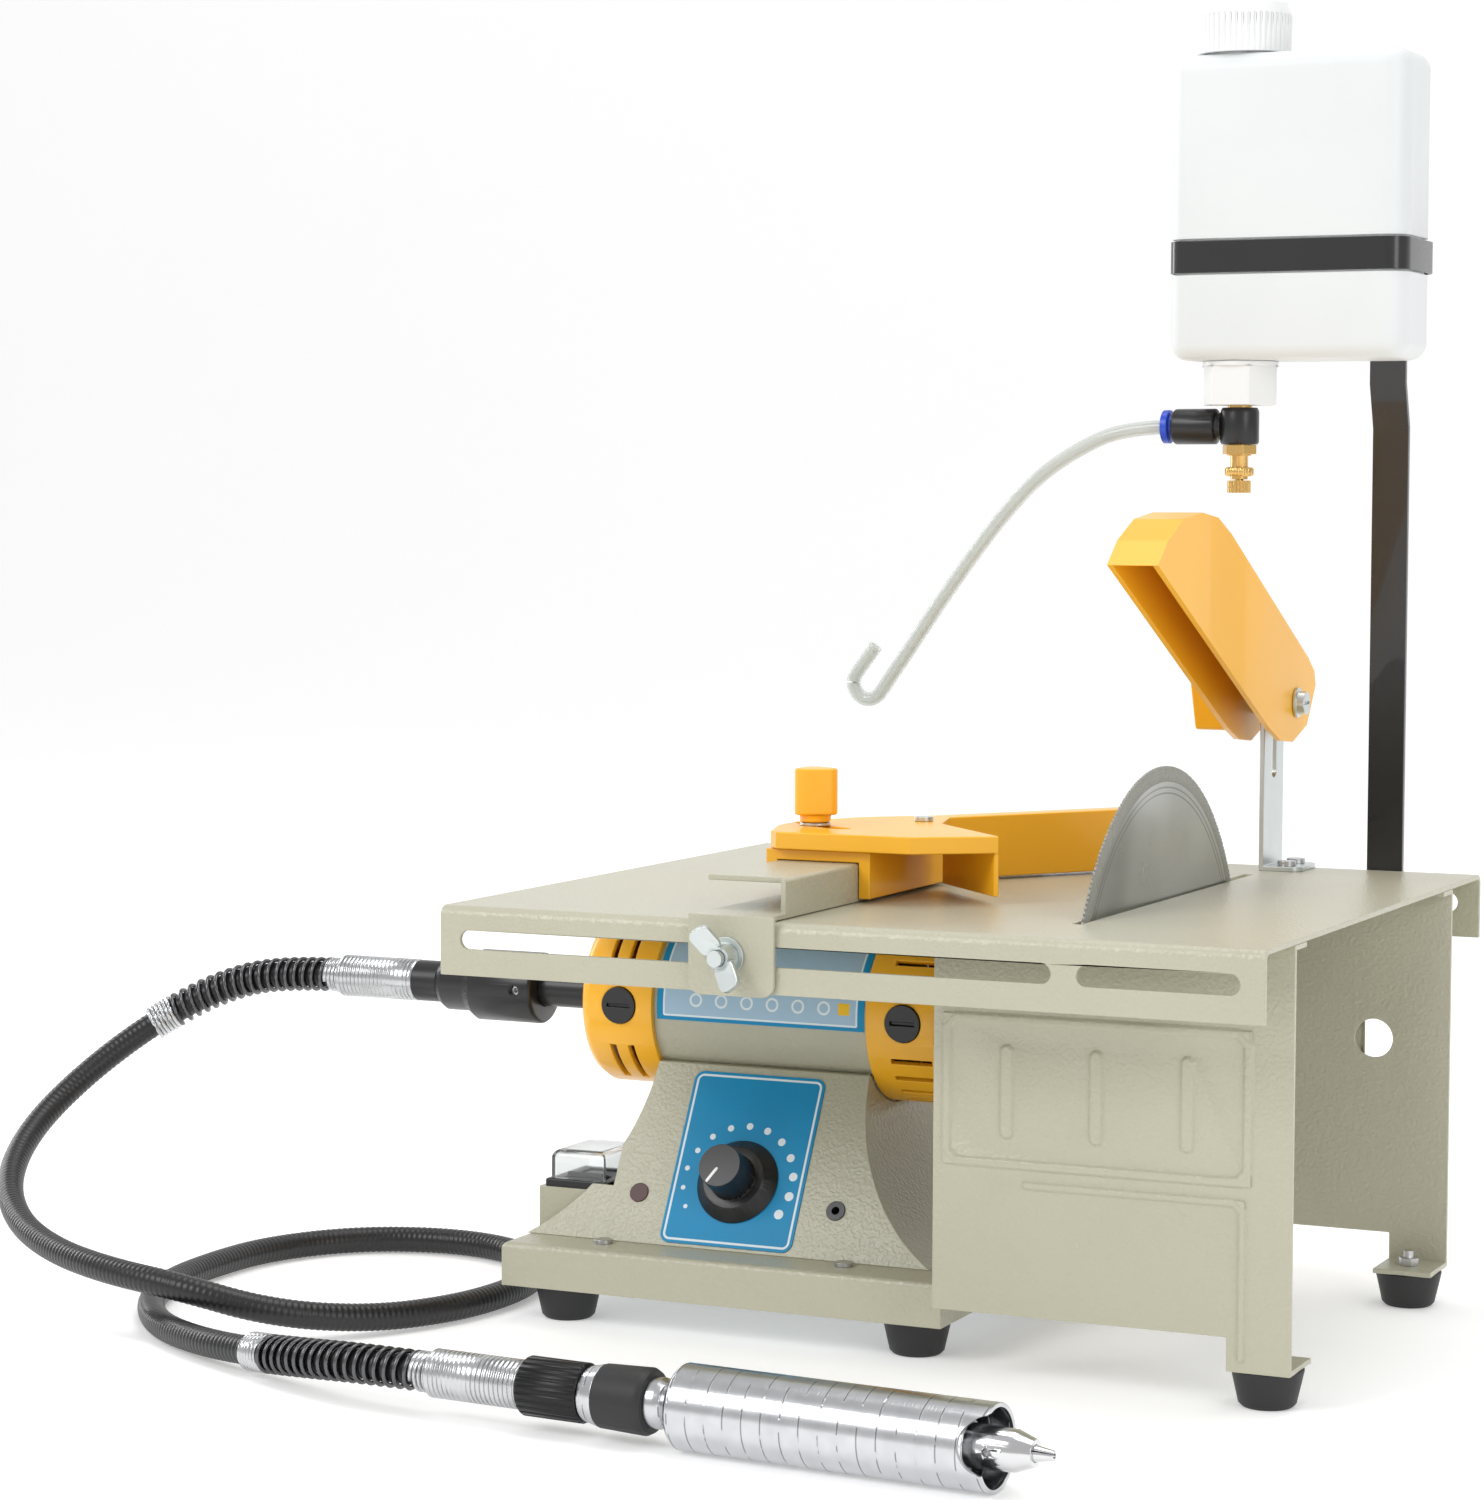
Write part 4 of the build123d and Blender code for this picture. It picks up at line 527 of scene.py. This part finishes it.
def tube(line, radii, sides):
    """Rings round a line: point + radius (cos a side + sin a up), with one radius for each point."""
    _, side, up = frames(line)
    a = np.linspace(0, 2 * np.pi, sides, endpoint=False)[None, :, None]
    ring = np.cos(a) * side[:, None] + np.sin(a) * up[:, None]
    return line[:, None] + ring * np.asarray(radii)[:, None, None]


def coil(line, spread, wire, turns_at, sides=7):
    """A wire wound round a line. Its middle is point + spread (cos t side + sin t up); turns_at gives t."""
    _, side, up = frames(line)
    t = turns_at[:, None]
    radial = np.cos(t) * side + np.sin(t) * up
    middle = line + spread * radial
    tangent = unit(np.gradient(middle, axis=0))
    cross = np.cross(tangent, radial)
    a = np.linspace(0, 2 * np.pi, sides, endpoint=False)[None, :, None]
    return middle[:, None] + wire * (np.cos(a) * radial[:, None] + np.sin(a) * cross[:, None])


def lozenge(middle, right, up, size, power=5.0, rows=16, columns=32):
    """A rounded block: a superellipsoid, each of whose directions is a signed power of a sine or cosine."""
    right, up = unit(np.array(right, float)), unit(np.array(up, float))
    out = np.cross(right, up)
    a = np.linspace(-np.pi / 2, np.pi / 2, rows)[:, None]
    b = np.linspace(0, 2 * np.pi, columns, endpoint=False)[None]

    def bent(value):
        """A signed power."""
        return np.sign(value) * np.abs(value) ** (2 / power)
    x = bent(np.cos(a)) * bent(np.cos(b)) * size[0] / 2
    y = bent(np.cos(a)) * bent(np.sin(b)) * size[1] / 2
    z = bent(np.sin(a)) * np.ones_like(b) * size[2] / 2
    return np.array(middle) + x[..., None] * right + y[..., None] * up + z[..., None] * out


# ---- settings -----------------------------------------------------------------------------
class BodySettings(bpy.types.PropertyGroup):
    """Paint and coloured plastic."""
    colour: FloatVectorProperty(name="Paint", description="Enamel colour", subtype="COLOR",
                                default=(0.475, 0.462, 0.352), min=0.0, max=1.0)
    peel: FloatProperty(name="Orange peel", description="Size of the paint's bumps", unit="LENGTH",
                        default=0.0015, min=0.0002, max=0.01)
    yellow: FloatVectorProperty(name="Yellow", description="Plastic colour", subtype="COLOR",
                                default=(0.96, 0.475, 0.016), min=0.0, max=1.0)


class TrimSettings(bpy.types.PropertyGroup):
    """Bare metal."""
    aluminium: FloatVectorProperty(name="Aluminium", description="Handpiece colour", subtype="COLOR",
                                   default=(0.62, 0.63, 0.65), min=0.0, max=1.0)


class PrintSettings(bpy.types.PropertyGroup):
    """The two printed films."""
    colour: FloatVectorProperty(name="Blue", description="Printed film", subtype="COLOR",
                                default=(0.006, 0.265, 0.53), min=0.0, max=1.0)
    pale: FloatVectorProperty(name="Pale", description="Ink of borders and marks", subtype="COLOR",
                              default=(0.78, 0.86, 0.90), min=0.0, max=1.0)
    inset: FloatProperty(name="Border inset", description="From the film's edge to its border",
                         unit="LENGTH", default=0.0016, min=0.0, max=0.01)


class BladeSettings(bpy.types.PropertyGroup):
    """The saw blade's rim."""
    rim: FloatProperty(name="Grit rim", description="Width of the coated rim", unit="LENGTH",
                       default=0.006, min=0.001, max=0.03)
    teeth: IntProperty(name="Serrations", description="Fine notches round the rim", default=300,
                       min=60, max=600)
    notch: FloatProperty(name="Notch depth", description="Depth of a serration", unit="LENGTH",
                         default=0.0007, min=0.0, max=0.003)


class SpringSettings(bpy.types.PropertyGroup):
    """The springs on the flexible shaft."""
    wire: FloatProperty(name="Wire", description="Radius of the spring wire", unit="LENGTH",
                        default=0.00092, min=0.0003, max=0.002)
    pitch: FloatProperty(name="Open pitch", description="Distance between the open turns", unit="LENGTH",
                         default=0.0043, min=0.002, max=0.01)
    length: FloatProperty(name="Length", description="Length of each spring along the cable", unit="LENGTH",
                          default=0.094, min=0.03, max=0.11)
    closed: FloatProperty(name="Closed end", description="Length of the bright closed turns", unit="LENGTH",
                          default=0.011, min=0.0, max=0.03)


class StageSettings(bpy.types.PropertyGroup):
    """Floor, light and lens."""
    floor: FloatVectorProperty(name="Floor", description="Floor colour", subtype="COLOR",
                               default=(0.86, 0.86, 0.86), min=0.0, max=1.0)
    glow: FloatProperty(name="Floor glow", description="Evens out the floor's own shading", default=0.3,
                        min=0.0, max=1.0)
    sky: FloatProperty(name="Sky", description="Strength of the even light", default=0.62, min=0.0, max=3.0)
    lens: FloatProperty(name="Lens", description="Focal length in millimetres", default=91.27,
                        min=20.0, max=200.0)


SETTINGS = {
    "machine_body": BodySettings, "machine_trim": TrimSettings, "machine_prints": PrintSettings,
    "machine_blade": BladeSettings, "machine_springs": SpringSettings, "machine_stage": StageSettings,
}


# ---- operators ----------------------------------------------------------------------------
class MACHINE_OT_stage(bpy.types.Operator):
    """Camera, lights, sky and the pale floor"""
    bl_idname = "machine.stage"
    bl_label = "Stage"

    def execute(self, context):
        scene = context.scene
        settings = scene.machine_stage
        data = bpy.data.cameras.new("camera")
        data.lens = settings.lens
        data.sensor_width = 36.0
        camera = bpy.data.objects.new("camera", data)
        turn = Matrix.Identity(4)
        for degrees, axis in CAMERA_TURNS:
            turn = turn @ Matrix.Rotation(math.radians(degrees), 4, axis)
        camera.matrix_world = Matrix.Translation(CAMERA_PLACE) @ turn
        scene.collection.objects.link(camera)
        scene.camera = camera
        scene.view_settings.view_transform = "Standard"
        for lamp in LIGHTS:
            self.light(scene, *lamp)
        world = bpy.data.worlds.new("sky")
        world.use_nodes = True
        scene.world = world
        world.node_tree.nodes["Background"].inputs[0].default_value = (1.0, 1.0, 1.0, 1.0)
        world.node_tree.nodes["Background"].inputs[1].default_value = settings.sky
        self.floor(scene, settings)
        return {"FINISHED"}

    def light(self, scene, name, place, aim, size, watts):
        """A rectangular lamp aimed at a point."""
        data = bpy.data.lights.new(name, "AREA")
        data.shape = "RECTANGLE"
        data.size, data.size_y = size
        data.energy = watts
        lamp = bpy.data.objects.new(name, data)
        lamp.matrix_world = (Matrix.Translation(place)
                             @ (Vector(aim) - Vector(place)).to_track_quat("-Z", "Y").to_matrix().to_4x4())
        scene.collection.objects.link(lamp)

    def floor(self, scene, settings):
        """A level floor that curves up to a back wall through a quarter of a circle."""
        s = Shader("floor")
        cloud = s.noise(s.place(), 1.5, 2.0)
        s.finish(Base_Color=s.mix(cloud, shade(settings.floor, 0.985), shade(settings.floor, 1.01)),
                 Roughness=0.85, Specular_IOR_Level=0.1, Emission_Color=(1.0, 1.0, 1.0, 1.0),
                 Emission_Strength=settings.glow)
        front, back, sweep, wide, tall = -4.0, 3.0, 1.5, 7.0, 5.0
        a = np.linspace(0, np.pi / 2, 24)
        y = np.concatenate([[front], back + sweep * np.sin(a), [back + sweep]])
        z = np.concatenate([[0.0], sweep - sweep * np.cos(a), [tall]])
        x = np.array([-wide, wide])
        points = np.stack(np.broadcast_arrays(x[None], y[:, None], z[:, None]), axis=-1)
        floor = bpy.data.objects.new("floor", grid_mesh("floor", points))
        floor.data.materials.append(s.material)
        scene.collection.objects.link(floor)


CAMERA_PLACE = (0.5378, -1.385, 0.3185)
CAMERA_TURNS = ((24.887, "Z"), (90 - 3.717, "X"), (0.21, "Z"))    # heading, tilt and roll, in degrees

# Name, place, target, size and watts.
LIGHTS = [
    ("key", (-1.3, -2.2, 1.9), (0.0, 0.0, 0.2), (1.2, 1.2), 30.0),
    ("fill", (2.4, -1.6, 1.2), (0.0, 0.0, 0.2), (1.0, 1.6), 16.0),
    ("top", (0.1, 0.2, 2.3), (0.0, 0.0, 0.1), (1.6, 1.2), 18.0),
    ("strip", (-2.2, 0.6, 0.9), (0.0, 0.0, 0.2), (0.3, 1.6), 12.0),
]


class MACHINE_OT_flexible_shaft(bpy.types.Operator):
    """Cable, its kink springs and the coupling"""
    bl_idname = "machine.flexible_shaft"
    bl_label = "Flexible shaft"

    def execute(self, context):
        scene = context.scene
        springs = scene.machine_springs
        line = route_line(SHAFT_ROUTE)
        skin, walked = spaced(line, 1900)
        ribs = CABLE_R - 0.00011 + 0.00011 * np.sin(walked * 2 * np.pi / 0.0024)
        cable = new_piece("shaft_cable", grid_mesh("shaft_cable", tube(skin, ribs, 24), wrap_columns=True,
                                                   cap_rows=True), "cable", "flex_shaft")
        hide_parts("flex_shaft")
        coils = []
        for label, way in (("motor", line), ("hand", line[::-1])):
            coils += self.spring(label, way, springs)
        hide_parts("shaft_springs")
        for node, finish, edge in (("shaft_coupling", "black", 0.5), ("motor_nose", "black", 0.3),
                                   ("motor_ferrule", "ferrule", 0.0), ("hand_ferrule", "ferrule", 0.0)):
            dress(node, finish, edge)
        return {"FINISHED"}

    def spring(self, label, line, springs):
        """Bright closed turns, black open turns, bright closed turns again."""
        spread = CABLE_R + springs.wire + 0.00008
        close = 2.02 * springs.wire
        first, last = springs.closed * 0.6, springs.length - springs.closed
        spans = (("inner", 0.0, first, close, "ferrule"),
                 ("open", first, last, springs.pitch, "spring_steel"),
                 ("outer", last, springs.length, close, "ferrule"))
        pieces = []
        for part, start, stop, pitch, finish in spans:
            turns = (stop - start) / pitch
            points, walked = spaced(line, int(turns * 22) + 2, start, stop)
            points = smooth(points)
            t = (walked - start) / pitch * 2 * np.pi
            wound = coil(points, spread, springs.wire, t)
            mesh = grid_mesh("spring", wound, wrap_columns=True, cap_rows=True)
            pieces.append(new_piece(f"spring_{label}_{part}", mesh, finish, "shaft_springs"))
        return pieces


def smooth(points):
    """A line's inner points moved towards the mean of their neighbours, three times."""
    for _ in range(3):
        points[1:-1] = (points[:-2] + points[1:-1] * 2 + points[2:]) / 4
    return points


class MACHINE_OT_handpiece(bpy.types.Operator):
    """Handpiece, its nut and its chuck"""
    bl_idname = "machine.handpiece"
    bl_label = "Handpiece"

    def execute(self, context):
        for node, finish, edge in (("handpiece_body", "aluminium", 0.3), ("knurled_nut", "black_steel", 0.0),
                                   ("rubber_sleeve", "rubber", 0.4), ("chuck", "chrome", 0.2),
                                   ("ball_bearings", "steel", 0.0)):
            dress(node, finish, edge)
        return {"FINISHED"}


class MACHINE_OT_water_feed(bpy.types.Operator):
    """Bottle, its bar and strap, the valve and the clear hose"""
    bl_idname = "machine.water_feed"
    bl_label = "Water feed"

    def execute(self, context):
        line = route_line(HOSE_ROUTE)
        count = 260
        middle, walked = spaced(line, count)
        outer = tube(middle, np.full(count, HOSE_R), 28)
        inner = tube(middle, np.full(count, HOSE_BORE), 28)[::-1]
        mesh = grid_mesh("hose", np.concatenate([outer, inner]), wrap_rows=True, wrap_columns=True)
        hose = new_piece("clear_hose", mesh, "hose", "water_hose")
        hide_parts("water_hose")
        for node, finish, edge in (("bottle", "milky", 0.0), ("bottle_cap", "white", 0.3),
                                   ("bottle_strap", "black_enamel", 0.3), ("bottle_bar", "black_enamel", 0.4),
                                   ("outlet_nut", "white", 0.5), ("valve_body", "brass", 0.2),
                                   ("valve_elbow", "black", 0.3), ("release_ring", "blue", 0.3),
                                   ("valve_needle", "brass", 0.0), ("needle_nut", "brass", 0.0)):
            dress(node, finish, edge)
        return {"FINISHED"}


class MACHINE_OT_frame_and_table(bpy.types.Operator):
    """Table, leg panels with their stamped relief, tray, pedestal and feet"""
    bl_idname = "machine.frame_and_table"
    bl_label = "Frame and table"

    def execute(self, context):
        for node, finish, edge in (("table_top", "paint", 0.35), ("front_leg_panel", "paint", 0.35),
                                   ("rear_leg_panel", "paint", 0.35), ("base_tray", "paint", 0.35),
                                   ("base_plate", "zinc", 0.3), ("pedestal_shell", "paint", 0.4),
                                   ("rubber_feet", "rubber", 0.5), ("fixing_screws", "steel", 0.2)):
            dress(node, finish, edge)
        for node, face, out in (("front_leg_panel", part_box("front_leg_panel")[0][1] + 1.0 * MM, -1.0),
                                ("rear_leg_panel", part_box("rear_leg_panel")[1][1] - 1.0 * MM, 1.0)):
            mesh = grid_mesh(node + "_relief", self.relief(face, out))
            self.leave_flats_out(mesh, face, out)
            new_piece(node + "_relief", mesh, "paint", node)
        return {"FINISHED"}

    def leave_flats_out(self, mesh, face, out):
        """Drops the faces that lie wholly under the panel's own surface."""
        work = bmesh.new()
        work.from_mesh(mesh)
        flat = [f for f in work.faces if all((v.co.y - face) * out < -RELIEF_TRIM for v in f.verts)]
        bmesh.ops.delete(work, geom=flat, context="FACES")
        for f in work.faces:
            if f.normal.y * out < 0:
                f.normal_flip()
        work.to_mesh(mesh)
        work.free()

    def relief(self, face, out):
        """A height over a grid in X and Z: where strokes pass, it swells smoothly to their crest."""
        low, high = (26.4 * MM, 17.0 * MM), (148.0 * MM, 138.0 * MM)
        x = np.linspace(low[0], high[0], RELIEF_STEPS)[None]
        z = np.linspace(low[1], high[1], RELIEF_STEPS)[:, None]
        near = np.full((RELIEF_STEPS, RELIEF_STEPS), 1.0)
        for (x0, z0), (x1, z1), half in RELIEF_STROKES:
            along = np.array([x1 - x0, z1 - z0])
            size = max(1e-9, float(along @ along))
            t = np.clip(((x * 1000 - x0) * along[0] + (z * 1000 - z0) * along[1]) / size, 0, 1)
            gap = np.hypot(x * 1000 - x0 - t * along[0], z * 1000 - z0 - t * along[1]) - half
            near = np.minimum(near, gap / RELIEF_SLOPE)
        swell = np.clip(-near + 0.5, 0, 1)
        height = swell * swell * (3 - 2 * swell) * RELIEF_HEIGHT - RELIEF_SUNK
        y = face + out * height
        return np.stack(np.broadcast_arrays(x, y, z), axis=-1)


RELIEF_STEPS = 260
RELIEF_HEIGHT, RELIEF_SUNK = 1.35 * MM, 0.12 * MM
RELIEF_TRIM = 0.1 * MM             # faces deeper than this under the panel are left out
RELIEF_SLOPE = 1.6                 # width of a stroke's sloping edge, in millimetres
# Strokes of the stamped relief: start, end and half width, in millimetres, in X and Z.
RELIEF_STROKES = [
    ((34.0, 133.7), (140.0, 133.7), 1.6), ((34.0, 81.3), (140.0, 81.3), 1.6),
    ((30.3, 130.0), (30.3, 85.0), 1.6), ((143.7, 130.0), (143.7, 85.0), 1.6),
    ((30.3, 130.0), (34.0, 133.7), 1.6), ((140.0, 133.7), (143.7, 130.0), 1.6),
    ((30.3, 85.0), (34.0, 81.3), 1.6), ((140.0, 81.3), (143.7, 85.0), 1.6),
    ((53.5, 93.0), (53.5, 122.0), 2.4), ((87.5, 93.0), (87.5, 122.0), 2.4),
    ((121.5, 93.0), (121.5, 122.0), 2.4), ((61.0, 74.0), (139.0, 74.0), 1.3),
    ((139.0, 74.0), (142.0, 71.0), 1.3), ((142.0, 71.0), (142.0, 19.0), 1.3),
]


class MACHINE_OT_controls(bpy.types.Operator):
    """Label, knob with its pointer, light, jack and power switch"""
    bl_idname = "machine.controls"
    bl_label = "Controls"

    def execute(self, context):
        for node, finish, edge in (("control_label", "control", 0.0), ("speed_knob", "black", 0.25),
                                   ("speed_control", "board", 0.0), ("power_led", "red", 0.2),
                                   ("light_jack", "black", 0.2), ("switch_box", "paint", 0.4),
                                   ("switch_frame", "black", 0.3), ("switch_rocker", "black", 0.3),
                                   ("switch_cover", "clear", 0.2)):
            dress(node, finish, edge)
        top = np.array(FRONT_FOOT) + KNOB_UP * np.array(FRONT_UP) + KNOB_TALL * np.array(FRONT_OUT)
        way = math.radians(150.0)
        along = math.cos(way) * np.array(FRONT_UP) + math.sin(way) * np.array((-1.0, 0.0, 0.0))
        side = np.cross(along, FRONT_OUT)
        block = lozenge(top + along * 4.6 * MM, side, along, (1.2 * MM, 7.0 * MM, 0.5 * MM))
        mesh = grid_mesh("pointer", block, wrap_columns=True)
        new_piece("knob_pointer", mesh, "white", body="knob")
        return {"FINISHED"}


class MACHINE_OT_motor(bpy.types.Operator):
    """Motor tube, label, caps, brushes and everything inside"""
    bl_idname = "machine.motor"
    bl_label = "Motor"

    def execute(self, context):
        for node, finish, edge in (("motor_tube", "paint", 0.0), ("motor_label", "motor", 0.0),
                                   ("left_end_cap", "yellow", 0.4), ("right_end_cap", "yellow", 0.4),
                                   ("motor_brushes", "black", 0.3), ("stator", "iron", 0.0),
                                   ("spindle", "steel", 0.0), ("armature", "copper", 0.0)):
            dress(node, finish, edge)
        return {"FINISHED"}


class MACHINE_OT_saw(bpy.types.Operator):
    """Blade with its serrated rim, and its clamp"""
    bl_idname = "machine.saw"
    bl_label = "Saw"

    def execute(self, context):
        scene = context.scene
        settings = scene.machine_blade
        mesh = grid_mesh("blade", self.blade(settings), wrap_rows=True, wrap_columns=True)
        blade = new_piece("saw_blade_disc", crisp(mesh, 40.0), "blade", "saw_blade")
        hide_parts("saw_blade")
        dress("blade_clamp", "steel", 0.3)
        return {"FINISHED"}

    def blade(self, settings):
        """Rings from the bore out along one face and back along the other; the rim's radius is notched."""
        half = 0.7 * MM
        core = half * 0.8
        bore = 5.02 * MM
        inner = BLADE_R - settings.rim
        middle, shoulder = 30.0 * MM, BLADE_R - 1.2 * MM
        near_face = [(bore, core), (middle, core), (inner - 0.2 * MM, core), (inner, half), (shoulder, half),
                     (BLADE_R, half * 0.6)]
        profile = [(r, -x) for r, x in near_face] + near_face[::-1]
        a = np.linspace(0, 2 * np.pi, settings.teeth * 4, endpoint=False)[None]
        saw = (a * settings.teeth / (2 * np.pi)) % 1.0
        notch = np.where(saw < 0.3, 1.0, 0.0) * settings.notch
        radius = np.array([p[0] for p in profile])[:, None]
        side = np.array([p[1] for p in profile])[:, None]
        radius = radius - notch * (radius > BLADE_R - 0.002)
        y, z = AXIS_Y + radius * np.cos(a), AXIS_Z + radius * np.sin(a)
        return np.stack([BLADE_X + side + 0 * a, y, z], axis=-1)


class MACHINE_OT_fence(bpy.types.Operator):
    """Fence rail, clamp, saddle, mitre arm and lock knob"""
    bl_idname = "machine.fence"
    bl_label = "Fence"

    def execute(self, context):
        for node, finish, edge in (("fence_rail", "paint", 0.35), ("clamp_bolt", "zinc", 0.2),
                                   ("wing_nut", "zinc", 0.4), ("mitre_saddle", "yellow", 0.5),
                                   ("mitre_arm", "yellow", 0.6), ("lock_stud", "zinc", 0.2),
                                   ("lock_knob", "yellow", 0.8)):
            dress(node, finish, edge)
        return {"FINISHED"}


class MACHINE_OT_guard(bpy.types.Operator):
    """Guard bracket, hood, bolt and knob"""
    bl_idname = "machine.guard"
    bl_label = "Guard"

    def execute(self, context):
        for node, finish, edge in (("guard_bracket", "zinc", 0.3), ("guard_bolt", "zinc", 0.2),
                                   ("guard_knob", "yellow", 0.7)):
            dress(node, finish, edge)
        dress("guard_hood", "yellow", 0.0, join_flats=False)
        return {"FINISHED"}


class MACHINE_PT_sidebar(bpy.types.Panel):
    """Makers and settings of the machine"""
    bl_idname = "MACHINE_PT_sidebar"
    bl_label = "Bench cabbing machine"
    bl_space_type = "VIEW_3D"
    bl_region_type = "UI"
    bl_category = "Machine"

    def draw(self, context):
        """Lists the makers and the settings."""
        for maker in MAKERS:
            self.layout.operator(maker.bl_idname)
        for name, group in SETTINGS.items():
            box = self.layout.box()
            for prop in group.__annotations__:
                box.prop(getattr(context.scene, name), prop)


MAKERS = (MACHINE_OT_stage, MACHINE_OT_flexible_shaft, MACHINE_OT_water_feed, MACHINE_OT_frame_and_table,
          MACHINE_OT_controls, MACHINE_OT_motor, MACHINE_OT_saw, MACHINE_OT_handpiece, MACHINE_OT_fence,
          MACHINE_OT_guard)


def register():
    """Adds the classes and the settings."""
    for group in (*SETTINGS.values(), *MAKERS, MACHINE_PT_sidebar):
        bpy.utils.register_class(group)
    for name, group in SETTINGS.items():
        setattr(bpy.types.Scene, name, PointerProperty(type=group))


def unregister():
    """Takes the settings and the classes away."""
    for name in SETTINGS:
        delattr(bpy.types.Scene, name)
    for group in reversed((*SETTINGS.values(), *MAKERS, MACHINE_PT_sidebar)):
        bpy.utils.unregister_class(group)


def main():
    register()
    for maker in MAKERS:
        area, name = maker.bl_idname.split(".")
        getattr(getattr(bpy.ops, area), name)()


if __name__ == "__main__":
    main()
